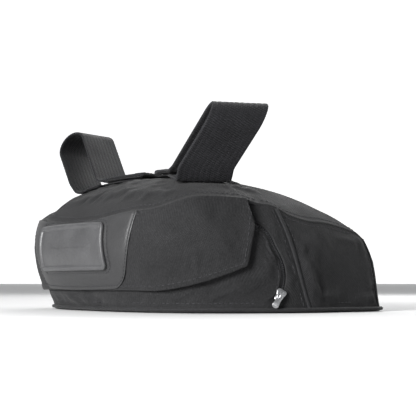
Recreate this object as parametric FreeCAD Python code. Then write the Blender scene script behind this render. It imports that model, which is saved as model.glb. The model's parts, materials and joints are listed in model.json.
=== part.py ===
"""Soft tail bag that hangs under a motorcycle's rear luggage rack.

Millimetres. +Z is up, the rounded nose faces -Y (the rear of the motorcycle), +X is the right
hand side. The origin is the middle of the footprint on the flat base.

Every fabric panel is a patch of one parametric skin. A place on the wall is (q, v): q runs round
the outline from the nose (0) past the corner (1 to 2), the side (2 to 3) and the rear corner
(3 to 4) to the middle of the back (5), negative on the left; v runs from the base (0) to the
crease under the top panel (1). d is the distance out from the outer face of the wall fabric.
"""
import FreeCAD, Part
import functools
import math
import os

V = FreeCAD.Vector

# Outline levels: where the nose is, how far it runs straight across, where the flank would meet
# the side, the flank's angle to the X axis, and where the side would meet the back.
BASE = {"nose_y": -71.5, "reach": 84.0, "corner": (127.0, 11.5), "angle": 64.0,
        "handle": 48.0, "round": 18.0, "rear": (123.0, 89.5), "rear_round": 14.0}
CREASE = {"nose_y": -79.5, "reach": 86.0, "corner": (108.0, -2.5), "angle": 66.0,
          "handle": 46.0, "round": 17.0, "rear": (108.0, 87.5), "rear_round": 13.0}

CREASE_Z = (60.0, 66.0, 75.0, 70.0, 60.0, 49.0, 47.0)   # crease height at CREASE_AT
CREASE_AT = (0.0, 0.4, 0.8, 1.5, 2.4, 3.5, 5.0)
TOP_Z = 92.5            # highest point of the domed top
DOME_POWER = 3.0        # how late the dome starts to fall towards its edge, less 1 at the back
DOME_Y = 0.0            # middle of the dome
BULGE = (6.8, 6.0, 4.0, 5.0, 3.0, 2.0)                  # swelling of the wall at BULGE_AT
BULGE_AT = (0.0, 0.8, 1.5, 2.5, 3.5, 5.0)
BULGE_SKEW = 1.6        # above 1, the wall is fullest above its middle

FABRIC = 1.5            # coated fabric with its backing
FOAM = 3.0              # foam lining
TAPE = 0.8              # zip tape
BOARD = 2.0             # stiffener in the base
PIPING = (0.7, 1.9)     # inner and outer edge of the piping, out from the base's outline
PIPING_Z = (0.6, 3.0)
LAYER_GAP = 0.1         # glue and stitch line between two layers
LOOSE = 0.4             # gap beside a layer that is only laid in or on

FLAP_OFF = 1.6          # air between the wall and the storm flap
FLAP = 2.2              # storm flap: fabric, stiffener and lining
FLAP_STIFFENER = 0.7
SEAM_CLEARANCE = 0.8    # between the seam behind the flap and the flap that lifts off it
PATCH = 1.0             # smooth synthetic leather on the nose of the flap
PATCH_HALF_Q = (0.255, 0.39)    # half width of the patch at its lower and its upper edge
BADGE = 2.4             # blank moulded rubber badge on the patch
FLAP_TOP_V = 0.97       # upper edge of the flap, in v
FLAP_LOW_Z = 15.0       # lower edge of the flap at the nose
FLAP_END_Z = 29.0       # and at its forward corner
FLAP_SPLIT_Q = 0.41     # the flap lifts inside this, and stays sewn down outside it
FLAP_SPLIT_GAP = 0.006
FLAP_HINGE = (-79.0, 62.0)                              # y and z of the fold line

BADGE_HALF_Q = 0.195    # half width, and the heights of its lower and upper edges
BADGE_Z = (29.0, 56.5)

ZIP_V = 0.76            # the zip's level run round the nose, in v
ZIP_FOOT_V = 0.10       # where it ends beside the base
ZIP_FOOT_Q = 1.07       # the zip's corner run: its foot, its top and how far it bows forwards
ZIP_TOP_Q = 1.20
ZIP_BOW_Q = 0.27
ZIP_TURN_Q = 0.22       # the rounded turn under the end of the flap
ZIP_TURN_V = 0.16
ZIP_SLOT = 1.3          # from the zip's middle line to the fabric's folded edge
SEAM_GAP = 0.4          # half the gap at the seam under the zip's foot
SEAM_END = 3.3          # where the seam under the zip's foot reaches the base
CORNER_Q = 1.72         # seam between the corner panel and the side panel
ZIP_TAPE = 7.5          # half of the zip's width, trimmed to go round its corners
COIL = 1.0              # half width of the closed coil
COIL_FACES = (-0.9, -0.4)       # inner and outer face of the coil

SLIDER_STOPS = (2.9, 2.5, 2.1)  # closed, middle and top of the slider's corner run
SLIDER_OFF = 1.9
ZIP_STOP_T = 2.955
PULL = 9.6              # length of the pull tab

WEBBING = 1.8           # thickness of the strap
STRAP_WIDTH = 38.0
STRAP_Y = -28.0         # middle of the strap where it leaves the top panel
STRAP_TOE = math.radians(20.0)  # the rails spread forwards, and the straps follow them
STRAP_LEAN = 0.46       # the webbing slants forwards by this for each unit that it rises
STRAP_LIFT = 0.6        # under the middle of the webbing, which lies straight across the dome
STRAP_ROOT_X = 52.0     # inner end of the sewn root
STRAP_FOOT_X = 74.0     # where the strap leaves the top panel
STRAP_TAIL_X = 54.0     # where the free end comes back down onto the top panel
TAIL_END_X = 10.0
STRAP_BEND = 4.0        # length that the bend at the foot takes off the root and the rise
RAIL_R = 10.0           # radius of the rack rail that the loop takes
RAIL_X = 92.0
RAIL_Z = 124.0
HOOK = 1.4              # thickness of one hook or loop tape

EVEN_STEPS = 4          # trial places for each place that a panel's edge is divided at

OUT = "parts"


# ---- curves and the skin -------------------------------------------------------------------

def between(a, b, t):
    return a + (b - a) * t


def smooth_table(places, values, x):
    """Value at x of a smooth curve through (places, values)."""
    if x <= places[0]:
        return values[0]
    for i in range(1, len(places)):
        if x <= places[i]:
            t = (x - places[i - 1]) / (places[i] - places[i - 1])
            return between(values[i - 1], values[i], t * t * (3.0 - 2.0 * t))
    return values[-1]


def bezier(points, t):
    """Point at t on a Bezier curve of any degree."""
    while len(points) > 1:
        points = [(between(a[0], b[0], t), between(a[1], b[1], t))
                  for a, b in zip(points, points[1:])]
    return points[0]


def step_from(point, direction, distance):
    return (point[0] + direction[0] * distance, point[1] + direction[1] * distance)


def outline(level, q):
    """Right half of an outline level, at q from 0 (nose) to 5 (middle of the back)."""
    angle = math.radians(level["angle"])
    flank = (math.cos(angle), math.sin(angle))
    corner, rear = level["corner"], level["rear"]
    length = math.hypot(rear[0] - corner[0], rear[1] - corner[1])
    side = ((rear[0] - corner[0]) / length, (rear[1] - corner[1]) / length)
    corner_in = step_from(corner, flank, -level["round"])
    corner_out = step_from(corner, side, level["round"])
    rear_in = step_from(rear, side, -level["rear_round"])
    rear_out = (rear[0] - level["rear_round"], rear[1])
    if q <= 1.0:
        return bezier([(0.0, level["nose_y"]), (level["reach"], level["nose_y"]),
                       step_from(corner_in, flank, -level["handle"]), corner_in], q)
    if q <= 2.0:
        return bezier([corner_in, corner, corner_out], q - 1.0)
    if q <= 3.0:
        return bezier([corner_out, rear_in], q - 2.0)
    if q <= 4.0:
        return bezier([rear_in, rear, rear_out], q - 3.0)
    return bezier([rear_out, (0.0, rear[1])], q - 4.0)


def wrapped(q):
    """Sign and size of q, with the back crossed at 5."""
    if q > 5.0:
        q -= 10.0
    if q < -5.0:
        q += 10.0
    return (-1.0 if q < 0.0 else 1.0), abs(q)


def crease_z(q):
    return smooth_table(CREASE_AT, CREASE_Z, wrapped(q)[1])


def flat_normal(q, v):
    """Outward direction in plan."""
    step = 0.01
    a, b = ruled(q - step, v), ruled(q + step, v)
    along = (b - a).normalize()
    return V(along.y, -along.x, 0.0)


def ruled(q, v):
    sign, size = wrapped(q)
    low, high = outline(BASE, size), outline(CREASE, size)
    return V(sign * between(low[0], high[0], v), between(low[1], high[1], v), v * crease_z(q))


def skin(q, v):
    swell = smooth_table(BULGE_AT, BULGE, wrapped(q)[1])
    rise = min(max(v, 0.0), 1.0) ** BULGE_SKEW
    return ruled(q, v) + flat_normal(q, v) * (swell * math.sin(math.pi * rise))


def skin_frame(q, v):
    """Place on the wall with its two tangents (per unit of q and of v) and its normal."""
    step = 0.004
    along = (skin(q + step, v) - skin(q - step, v)) * (0.5 / step)
    up = (skin(q, v + step) - skin(q, v - step)) * (0.5 / step)
    return skin(q, v), along, up, along.cross(up).normalize()


def wall(q, v, d):
    """Place at d out from the wall fabric's face, never under the base."""
    place, _, _, out = skin_frame(q, v)
    place = place + out * d
    return V(place.x, place.y, max(place.z, 0.0))


def v_at(q, z):
    return z / crease_z(q)


CREASE_RING = [skin(i * 0.02, 1.0) for i in range(-250, 250)]


def dome_z(x, y):
    """Height of the top panel over (x, y)."""
    angle = math.atan2(y - DOME_Y, x)
    reach = math.hypot(x, y - DOME_Y)
    for a, b in zip(CREASE_RING, CREASE_RING[1:] + CREASE_RING[:1]):
        from_a = math.atan2(a.y - DOME_Y, a.x) - angle
        from_b = math.atan2(b.y - DOME_Y, b.x) - angle
        from_a = (from_a + math.pi) % (2.0 * math.pi) - math.pi
        from_b = (from_b + math.pi) % (2.0 * math.pi) - math.pi
        if from_a <= 0.0 < from_b and from_b - from_a < 1.0:
            t = -from_a / (from_b - from_a)
            edge = a + (b - a) * t
            share = reach / math.hypot(edge.x, edge.y - DOME_Y)
            power = DOME_POWER - max(math.sin(angle), 0.0)
            return edge.z + (TOP_Z - edge.z) * (1.0 - share ** power)
    return TOP_Z


# ---- making solids -------------------------------------------------------------------------

def steps(low, high, count):
    return [between(low, high, i / (count - 1)) for i in range(count)]


def evened(point, low, high, count):
    """Values of a from low to high that are evenly spaced along the curve point(a)."""
    fine = steps(low, high, EVEN_STEPS * count)
    spots = [point(a) for a in fine]
    run = [0.0]
    for here, ahead in zip(spots, spots[1:]):
        run.append(run[-1] + (ahead - here).Length)
    values, i = [], 0
    for target in steps(0.0, run[-1], count):
        while i < len(fine) - 2 and run[i + 1] < target:
            i += 1
        values.append(between(fine[i], fine[i + 1], (target - run[i]) / (run[i + 1] - run[i])))
    return values


def sheet(point, low, high, inner, outer, count_a=13, count_b=9):
    """Solid between two offsets of a surface point(a, b, d), over a from low to high."""
    rows = [(b, evened(lambda a: point(a, b, outer), low, high, count_a))
            for b in steps(0.0, 1.0, count_b)]
    faces = []
    for d in (inner, outer):
        surface = Part.BSplineSurface()
        surface.interpolate([[point(a, b, d) for a in places] for b, places in rows])
        faces.append(surface.toShape())
    sides = [Part.makeRuledSurface(a, b) for a, b in zip(faces[0].Edges, faces[1].Edges)]
    shell = Part.makeShell(faces + sides)
    shell.sewShape()
    solid = Part.Solid(shell)
    solid.fix(0.001, 0.001, 0.01)
    if solid.Volume < 0.0:
        solid.reverse()
    return solid


def wall_panel(q0, q1, v0, v1, inner, outer, count_q=13, count_v=9):
    """Panel of the wall. q0 and q1 are numbers or functions of v, v0 and v1 functions of q."""
    def place(a, b, d):
        q = between(q0, q1, a)
        v = between(v0(q), v1(q), b)
        return wall(q, v, d)
    return sheet(place, 0.0, 1.0, inner, outer, count_q, count_v)


def shift_on_wall(q, v, direction, distance):
    """(q, v) moved by distance along a direction that lies in the wall."""
    _, along, up, _ = skin_frame(q, v)
    aa, bb, ab = along.dot(along), up.dot(up), along.dot(up)
    da, db = along.dot(direction), up.dot(direction)
    scale = distance / (aa * bb - ab * ab)
    return q + (da * bb - db * ab) * scale, v + (db * aa - da * ab) * scale


def path_frame(path, t):
    """A place (q, v) on a path in the wall, and the direction across it (left of its travel)."""
    step = 0.002
    q, v = path(t)
    ahead, behind = path(t + step), path(t - step)
    along = (skin(*ahead) - skin(*behind)).normalize()
    out = skin_frame(q, v)[3]
    return q, v, along, out.cross(along).normalize(), out


def band(path, low, high, edge0, edge1, inner, outer, count_a=41, count_b=4):
    """Strip that follows a path in the wall, between two distances across it."""
    def place(t, b, d):
        q, v, _, across, _ = path_frame(path, t)
        q, v = shift_on_wall(q, v, across, between(edge0, edge1, b))
        return wall(q, v, d)
    return sheet(place, low, high, inner, outer, count_a, count_b)


def turned(solid, place, along, across, out):
    """A solid made about the origin, moved to a place with its axes along three directions."""
    matrix = FreeCAD.Matrix(along.x, across.x, out.x, place.x,
                            along.y, across.y, out.y, place.y,
                            along.z, across.z, out.z, place.z, 0, 0, 0, 1)
    solid.Placement = FreeCAD.Placement(matrix).multiply(solid.Placement)
    return solid


def slab(corners, z0, z1):
    """Plate from z0 to z1 with a closed smooth outline."""
    curve = Part.BSplineCurve()
    curve.interpolate(corners, PeriodicFlag=True)
    face = Part.Face(Part.Wire(curve.toShape()))
    face.translate(V(0.0, 0.0, z0))
    return face.extrude(V(0.0, 0.0, z1 - z0))


def ring_points(d, v=0.0, count=120):
    """Points round the outline at v, at d outside it, laid flat at z = 0."""
    places = [-5.0 + 10.0 * i / count for i in range(count)]
    ring = [ruled(q, v) + flat_normal(q, v) * d for q in places]
    return [V(p.x, p.y, 0.0) for p in ring]


def domed_sheet(ring, inner, outer):
    """Part of the dome between two offsets that lies inside a ring in plan."""
    reach_x, front_y, back_y = 119.0, -86.0, 94.0

    def place(a, b, d):
        x, y = reach_x * a, between(front_y, back_y, b)
        return V(x, y, dome_z(x, y) + d)
    dome = sheet(place, -1.0, 1.0, inner, outer, 33, 25)
    return dome.common(slab(ring, 20.0, 2.0 * TOP_Z)).Solids[0]


# ---- the zip's line ------------------------------------------------------------------------

def zip_q(v):
    """Where the zip's corner run is, bowed forwards at its middle."""
    share = (v - ZIP_FOOT_V) / (ZIP_V - ZIP_FOOT_V)
    bow = math.sin(math.pi * min(max(share, 0.0), 1.0) ** 0.85)
    return between(ZIP_FOOT_Q, ZIP_TOP_Q, share) + ZIP_BOW_Q * bow


def zip_path(t):
    """The closed zip from its left foot (t = -3) round the nose (0) to its right foot (3).

    Past the feet, the same line runs on down to the base (at 3.3) as a plain seam.
    """
    side = -1.0 if t < 0.0 else 1.0
    t = abs(t)
    end_q, end_v = zip_q(ZIP_V - ZIP_TURN_V), ZIP_V - ZIP_TURN_V
    if t <= 1.0:
        return side * t * (end_q - ZIP_TURN_Q), ZIP_V
    if t <= 2.0:
        q, v = bezier([(end_q - ZIP_TURN_Q, ZIP_V), (end_q, ZIP_V), (end_q, end_v)], t - 1.0)
        return side * q, v
    if t <= 3.0:
        v = between(end_v, ZIP_FOOT_V, t - 2.0)
        return side * zip_q(v), v
    share = (t - 3.0) / (SEAM_END - 3.0)
    return side * (ZIP_FOOT_Q - 0.06 * share), between(ZIP_FOOT_V, 0.0, share)


def slot(t):
    """Half the slot that the zip shows through. It closes to a seam past the zip's feet."""
    return between(ZIP_SLOT, SEAM_GAP, min(max((abs(t) - 2.97) / 0.16, 0.0), 1.0))


# ---- panels of the bag ---------------------------------------------------------------------

def const(value):
    return lambda q: value


def beside_zip(t, distance):
    """(q, v) beside the zip's line. A positive distance is above it or forward of it."""
    q, v, _, across, _ = path_frame(zip_path, t)
    return shift_on_wall(q, v, across, distance)


@functools.lru_cache(maxsize=None)
def zip_side(v, sign):
    """How far round the wall the fabric's edge beside the corner run is, at height v."""
    low, high = 1.0, SEAM_END - 0.01
    for _ in range(30):
        t = (low + high) / 2.0
        if beside_zip(t, sign * slot(t))[1] > v:
            low = t
        else:
            high = t
    return beside_zip(low, sign * slot(low))[0]


def front_wall():
    """Wall under the zip, from one corner of the bag to the other."""
    top_v = beside_zip(1.0, -ZIP_SLOT)[1]

    def place(a, b, d):
        v = top_v * b
        return wall(a * zip_side(v, -1.0), v, d)
    return sheet(place, -1.0, 1.0, -FABRIC, 0.0, 33, 13)


def upper_wall():
    """Narrow wall between the zip's level run and the crease."""
    def place(a, b, d):
        q, v = beside_zip(a, ZIP_SLOT)
        return wall(q, between(v, 1.0, b), d)
    return sheet(place, -0.995, 0.995, -FABRIC, 0.0, 31, 5)


def corner_panel(side):
    """Panel between the zip's corner run and the side, from the base to the crease."""
    start_q, start_v = beside_zip(1.0, ZIP_SLOT)

    def place(a, b, d):
        near = start_q if a >= start_v else zip_side(a, 1.0)
        return wall(side * between(near, CORNER_Q, b), a, d)
    return sheet(place, 0.0, 1.0, -FABRIC, 0.0, 33, 7)


def side_panel(side):
    return wall_panel(side * (CORNER_Q + 0.01), side * 3.3, const(0.0), const(1.0),
                      -FABRIC, 0.0, 25, 9)


def side_foam(side):
    return wall_panel(side * 1.8, side * 3.25, const(0.07), const(0.95),
                      -FABRIC - LOOSE - FOAM, -FABRIC - LOOSE, 21, 7)


def back_wall():
    return wall_panel(3.31, 6.69, const(0.0), const(1.0), -FABRIC, 0.0, 41, 9)


def back_foam():
    return wall_panel(3.5, 6.5, const(0.07), const(0.95),
                      -FABRIC - LOOSE - FOAM, -FABRIC - LOOSE, 31, 7)


def front_foam():
    deep = -FABRIC - TAPE - 2.0 * LAYER_GAP
    return wall_panel(-0.95, 0.95, const(0.07), const(ZIP_V - 0.16), deep - FOAM, deep, 31, 7)


def top_panel():
    return domed_sheet(ring_points(-FABRIC - LOOSE, 1.0), -FABRIC, 0.0)


def top_foam():
    return domed_sheet(ring_points(-FABRIC - 2.0 * FOAM, 1.0), -FABRIC - LOOSE - FOAM,
                       -FABRIC - LOOSE)


def base_panel():
    return slab(ring_points(-FABRIC - LOOSE), 0.0, FABRIC)


def base_board():
    return slab(ring_points(-FABRIC - 2.0 * FOAM), FABRIC + LAYER_GAP, FABRIC + BOARD)


def base_piping():
    outer = slab(ring_points(PIPING[1]), PIPING_Z[0], PIPING_Z[1])
    return outer.cut(slab(ring_points(PIPING[0]), 0.0, 2.0 * PIPING_Z[1]))


# ---- zip -----------------------------------------------------------------------------------

def zip_tape(side):
    """One tape of the zip, under the fabric's edge. side is 1 above the coil, -1 below it."""
    deep = -FABRIC - LAYER_GAP
    edges = sorted((side * (COIL + LOOSE), side * ZIP_TAPE))
    return band(zip_path, -2.97, 2.97, edges[0], edges[1], deep - TAPE, deep, 73)


def zip_coil(side):
    edges = sorted((side * 0.12, side * COIL))
    return band(zip_path, -2.97, 2.97, edges[0], edges[1], *COIL_FACES, 73)


def zip_stop(t):
    q, v, along, across, out = path_frame(zip_path, t)
    stop = Part.makeBox(2.0, 2.2, 0.9, V(-1.0, -1.1, -0.3))
    return turned(stop, skin(q, v), along, across, out)


def zip_ride():
    """Axis on which the slider follows the right corner run: centre, direction, half path."""
    places = [wall(*zip_path(t), SLIDER_OFF) for t in SLIDER_STOPS]
    a, b = places[1] - places[0], places[2] - places[0]
    axis = a.cross(b)
    centre = places[0] + (axis.cross(a) * b.dot(b) + b.cross(axis) * a.dot(a)) * (
        0.5 / axis.dot(axis))
    return places, centre, axis.normalize()


def slider_frame():
    places, centre, axis = zip_ride()
    arm = (places[0] - centre).normalize()
    along = axis.cross(arm).normalize()
    out = skin_frame(*zip_path(SLIDER_STOPS[0]))[3]
    out = (out - along * out.dot(along)).normalize()
    return places[0], along, out.cross(along), out


def rounded_plate(length, width, height, radius, origin):
    plate = Part.makeBox(length, width, height, origin)
    upright = [e for e in plate.Edges if abs(e.tangentAt(e.FirstParameter).z) > 0.9]
    return plate.makeFillet(radius, upright)


def zip_slider():
    plate = rounded_plate(8.0, 6.4, 1.5, 1.8, V(-4.0, -3.2, -0.9))
    bridge = Part.makeBox(5.0, 1.6, 2.2, V(-2.5, -0.8, 0.6))
    hole = Part.makeCylinder(0.65, 3.0, V(0.9, -1.5, 1.7), V(0.0, 1.0, 0.0))
    return turned(plate.fuse(bridge).cut(hole), *slider_frame())


def zip_pull():
    """Metal tab with a cross bar through the slider's bridge."""
    tab = rounded_plate(PULL, 5.0, 1.0, 2.0, V(-PULL - 0.6, -2.5, -0.5))
    window = Part.makeBox(4.8, 2.4, 3.0, V(-3.8, -1.2, -1.5))
    pin = Part.makeCylinder(0.5, 2.6, V(0.0, -1.3, 0.0), V(0.0, 1.0, 0.0))
    cheeks = [Part.makeBox(1.5, 0.9, 1.0, V(-0.9, y, -0.5)) for y in (1.15, -2.05)]
    tab = tab.cut(window).cut(Part.makeBox(3.0, 1.9, 3.0, V(-1.2, -0.95, -1.5)))
    solid = tab.fuse([pin] + cheeks)
    solid.translate(V(0.9, 0.0, 1.7))
    return turned(solid, *slider_frame())


# ---- storm flap ----------------------------------------------------------------------------

def flap_end_q(v):
    """Forward edge of the flap, slanting back towards its lower corner."""
    share = min(max((v - 0.38) / 0.5, 0.0), 1.0)
    return between(0.92, 1.05, share)


def flap_low_v(q):
    share = max(abs(q) - 0.4, 0.0) / 0.52
    return v_at(q, between(FLAP_LOW_Z, FLAP_END_Z, share ** 1.7))


def flap_nose(inner, outer, edge=0.0):
    reach = FLAP_SPLIT_Q - edge
    return wall_panel(-reach, reach, lambda q: flap_low_v(q) + edge, const(FLAP_TOP_V - edge),
                      inner, outer, 25, 9)


def flap_wing(side):
    def place(a, b, d):
        start = FLAP_SPLIT_Q + FLAP_SPLIT_GAP
        q = between(start, 0.92, a)
        v = between(flap_low_v(q), FLAP_TOP_V, b)
        q += (flap_end_q(v) - 0.92) * a ** 3
        return wall(side * q, v, d)
    return sheet(place, 0.0, 1.0, FLAP_OFF, FLAP_OFF + FLAP, 17, 9)


def nose_patch():
    """Inverted trapezoid over the nose of the flap."""
    face = FLAP_OFF + FLAP + LAYER_GAP

    def place(a, b, d):
        v = between(flap_low_v(0.0) + 0.01, FLAP_TOP_V - 0.01, b)
        return wall(a * between(*PATCH_HALF_Q, b ** 0.8), v, d)
    return sheet(place, -1.0, 1.0, face, face + PATCH, 21, 9)


def badge():
    face = FLAP_OFF + FLAP + PATCH + 2.0 * LAYER_GAP
    return wall_panel(-BADGE_HALF_Q, BADGE_HALF_Q, const(v_at(0.0, BADGE_Z[0])),
                      const(v_at(0.0, BADGE_Z[1])), face, face + BADGE, 15, 7)


def flap_seam():
    """Folded seam allowance behind the upper edge of the flap."""
    return wall_panel(-0.98, 0.98, const(FLAP_TOP_V - 0.03), const(0.995), LAYER_GAP,
                      FLAP_OFF - SEAM_CLEARANCE, 31, 5)


def bar_tack(side):
    """Stitched block that holds the forward top corner of the flap."""
    q, v = 1.085, 0.74
    _, along, up, out = skin_frame(side * q, v)
    along = along.normalize()
    block = Part.makeBox(5.0, 1.6, 1.5, V(-2.5, -0.8, LOOSE))
    return turned(block, skin(side * q, v), along, out.cross(along), out)


# ---- straps --------------------------------------------------------------------------------

def strap_plan(x, y):
    """Plan place at x outwards along the right strap and y across it."""
    away = x - STRAP_FOOT_X
    return (STRAP_FOOT_X + away * math.cos(STRAP_TOE) + y * math.sin(STRAP_TOE),
            STRAP_Y - away * math.sin(STRAP_TOE) + y * math.cos(STRAP_TOE))


def strap_bed(x, height):
    """A place over the top panel, in the strap's own plane (x outwards, z up)."""
    return V(x, 0.0, dome_z(*strap_plan(x, 0.0)) + height)


ROOT_HEIGHT = WEBBING / 2.0 + STRAP_LIFT
TAIL_HEIGHT = 2.0 * HOOK + 3.0 * LAYER_GAP + WEBBING / 2.0 + STRAP_LIFT


def rail_place(angle):
    radius = RAIL_R + WEBBING / 2.0
    return V(RAIL_X + radius * math.cos(angle), 0.0, RAIL_Z + radius * math.sin(angle))


def strap_turns():
    """Angles round the rail where the strap meets it and leaves it."""
    turns = []
    for x, height, side in ((STRAP_FOOT_X, ROOT_HEIGHT, -1.0), (STRAP_TAIL_X, TAIL_HEIGHT, 1.0)):
        start = strap_bed(x, height)
        away = math.hypot(RAIL_X - start.x, RAIL_Z - start.z)
        turn = math.atan2(RAIL_Z - start.z, RAIL_X - start.x)
        turn += side * math.asin((RAIL_R + WEBBING / 2.0) / away)
        turns.append(turn + side * math.pi / 2.0)
    return turns


STRAP_TURNS = strap_turns()
LEAN_FROM = strap_bed(STRAP_TAIL_X, TAIL_HEIGHT).z


def leant(place):
    """A place of the standing webbing, moved forwards as far as the webbing slants there."""
    return place + V(0.0, STRAP_LEAN * max(place.z - LEAN_FROM, 0.0), 0.0)


def strap_point(t):
    """Middle of the webbing: sewn root (0 to 1), bend (2), rise (3), rail (4) and fall (5)."""
    first, last = STRAP_TURNS
    foot = strap_bed(STRAP_FOOT_X, ROOT_HEIGHT)
    root = strap_bed(STRAP_FOOT_X - STRAP_BEND, ROOT_HEIGHT)
    rise = foot + (rail_place(first) - foot).normalize() * STRAP_BEND
    if t <= 1.0:
        return strap_bed(between(STRAP_ROOT_X, STRAP_FOOT_X - STRAP_BEND, t), ROOT_HEIGHT)
    if t <= 2.0:
        a, b = between(root, foot, t - 1.0), between(foot, rise, t - 1.0)
        return between(a, b, t - 1.0)
    if t <= 3.0:
        return between(rise, rail_place(first), t - 2.0)
    if t <= 4.0:
        return rail_place(between(first, last, t - 3.0))
    return between(rail_place(last), strap_bed(STRAP_TAIL_X, TAIL_HEIGHT), t - 4.0)


def tail_point(t):
    """Free end, lying on the top panel over the hook and loop tapes."""
    return strap_bed(between(STRAP_TAIL_X - 3.0, TAIL_END_X, t), TAIL_HEIGHT)


def ribbon(point, places, low=-0.5, high=0.5, width=STRAP_WIDTH, shift=V):
    """Flat strip through point(t), in the strap's own axes. low and high are in webbings."""
    wires = []
    for t in places:
        along = point(min(t + 0.01, places[-1])) - point(max(t - 0.01, places[0]))
        out = V(-along.z, 0.0, along.x).normalize() * WEBBING
        corners = [shift(point(t) + out * d) + V(0.0, y * width, 0.0)
                   for y, d in ((-0.5, low), (0.5, low), (0.5, high), (-0.5, high))]
        wires.append(Part.makePolygon(corners + corners[:1]))
    solid = Part.makeLoft(wires, True, True)
    if solid.Volume < 0.0:
        solid = Part.makeLoft(wires[::-1], True, True)
    return solid


def on_bag(solid, side):
    """A solid made in the right strap's own axes, moved onto the bag, mirrored for the left."""
    solid.translate(V(-STRAP_FOOT_X, 0.0, 0.0))
    solid.rotate(V(), V(0.0, 0.0, 1.0), -math.degrees(STRAP_TOE))
    solid.translate(V(STRAP_FOOT_X, STRAP_Y, 0.0))
    return solid if side > 0.0 else solid.mirror(V(), V(1.0, 0.0, 0.0))


def rail_loop():
    """The webbing round the rail: part of a round tube whose ends slant with the webbing."""
    first, last = STRAP_TURNS
    length = 2.0 * STRAP_WIDTH
    tubes = [Part.makeCylinder(r, length, V(0.0, 0.0, -length / 2.0), V(0.0, 0.0, 1.0),
                               math.degrees(last - first))
             for r in (RAIL_R + WEBBING, RAIL_R)]
    loop = tubes[0].cut(tubes[1])
    loop.rotate(V(), V(0.0, 0.0, 1.0), math.degrees(first))
    loop.rotate(V(), V(1.0, 0.0, 0.0), 90.0)
    loop.translate(V(RAIL_X, 0.0, RAIL_Z))
    reach = RAIL_R + 2.0 * WEBBING
    ends = [leant(V(RAIL_X - reach, y, z)) for y, z in (
        (-STRAP_WIDTH / 2.0, RAIL_Z - reach), (STRAP_WIDTH / 2.0, RAIL_Z - reach),
        (STRAP_WIDTH / 2.0, RAIL_Z + reach), (-STRAP_WIDTH / 2.0, RAIL_Z + reach))]
    slanted = Part.Face(Part.makePolygon(ends + ends[:1])).extrude(V(2.0 * reach, 0.0, 0.0))
    return loop.common(slanted)


def strap(side):
    """Sewn root, rise to the rail, loop round it and fall, in one length of webbing."""
    rise = ribbon(strap_point, steps(0.0, 1.0, 4) + steps(1.2, 2.0, 5) + [3.0], shift=leant)
    fall = ribbon(strap_point, [4.0, 4.96], shift=leant)
    return on_bag(rise.fuse([rail_loop(), fall]).Solids[0], side)


def strap_tail(side):
    return on_bag(ribbon(tail_point, steps(0.0, 1.0, 9)), side)


def tape_patch(side, level):
    """Hook tape (level 1, on the free end) or loop tape (level 0, on the top panel)."""
    def place(t):
        x = between(STRAP_TAIL_X - 6.0, TAIL_END_X + 3.0, t)
        return strap_bed(x, STRAP_LIFT + LAYER_GAP + level * (HOOK + LAYER_GAP))
    return on_bag(ribbon(place, steps(0.0, 1.0, 9), -HOOK / WEBBING, 0.0, STRAP_WIDTH - 2.0),
                  side)


# ---- write ---------------------------------------------------------------------------------

def nodes():
    flap_face = FLAP_OFF + FLAP
    made = {
        "base_panel": base_panel(),
        "base_board": base_board(),
        "base_piping": base_piping(),
        "front_wall": front_wall(),
        "upper_wall": upper_wall(),
        "front_foam": front_foam(),
        "back_wall": back_wall(),
        "back_foam": back_foam(),
        "top_panel": top_panel(),
        "top_foam": top_foam(),
        "zip_tape_upper": zip_tape(1),
        "zip_tape_lower": zip_tape(-1),
        "zip_coil_upper": zip_coil(1),
        "zip_coil_lower": zip_coil(-1),
        "zip_slider": zip_slider(),
        "zip_pull": zip_pull(),
        "flap_seam": flap_seam(),
        "flap_panel": flap_nose(FLAP_OFF + FLAP_STIFFENER + LAYER_GAP, flap_face),
        "flap_stiffener": flap_nose(FLAP_OFF, FLAP_OFF + FLAP_STIFFENER, 0.02),
        "nose_patch": nose_patch(),
        "badge": badge(),
    }
    for name, side in (("right", 1.0), ("left", -1.0)):
        made["corner_panel_" + name] = corner_panel(side)
        made["side_panel_" + name] = side_panel(side)
        made["side_foam_" + name] = side_foam(side)
        made["flap_wing_" + name] = flap_wing(side)
        made["flap_bar_tack_" + name] = bar_tack(side)
        made["strap_" + name] = strap(side)
        made["strap_tail_" + name] = strap_tail(side)
        made["loop_tape_" + name] = tape_patch(side, 0)
        made["hook_tape_" + name] = tape_patch(side, 1)
    made["zip_stops"] = [zip_stop(-ZIP_STOP_T), zip_stop(ZIP_STOP_T)]
    return made


def main():
    os.makedirs(OUT, exist_ok=True)
    for name, shape in nodes().items():
        if isinstance(shape, list):
            shape = Part.makeCompound(shape)
        shape.exportStep(os.path.join(OUT, name + ".step"))
        box = shape.BoundBox
        print(f"{name:22s} valid {shape.isValid()} solids {len(shape.Solids)} "
              f"vol {shape.Volume:9.1f} x {box.XMin:7.1f} {box.XMax:7.1f} "
              f"y {box.YMin:7.1f} {box.YMax:7.1f} z {box.ZMin:6.1f} {box.ZMax:6.1f}")


main()
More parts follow.
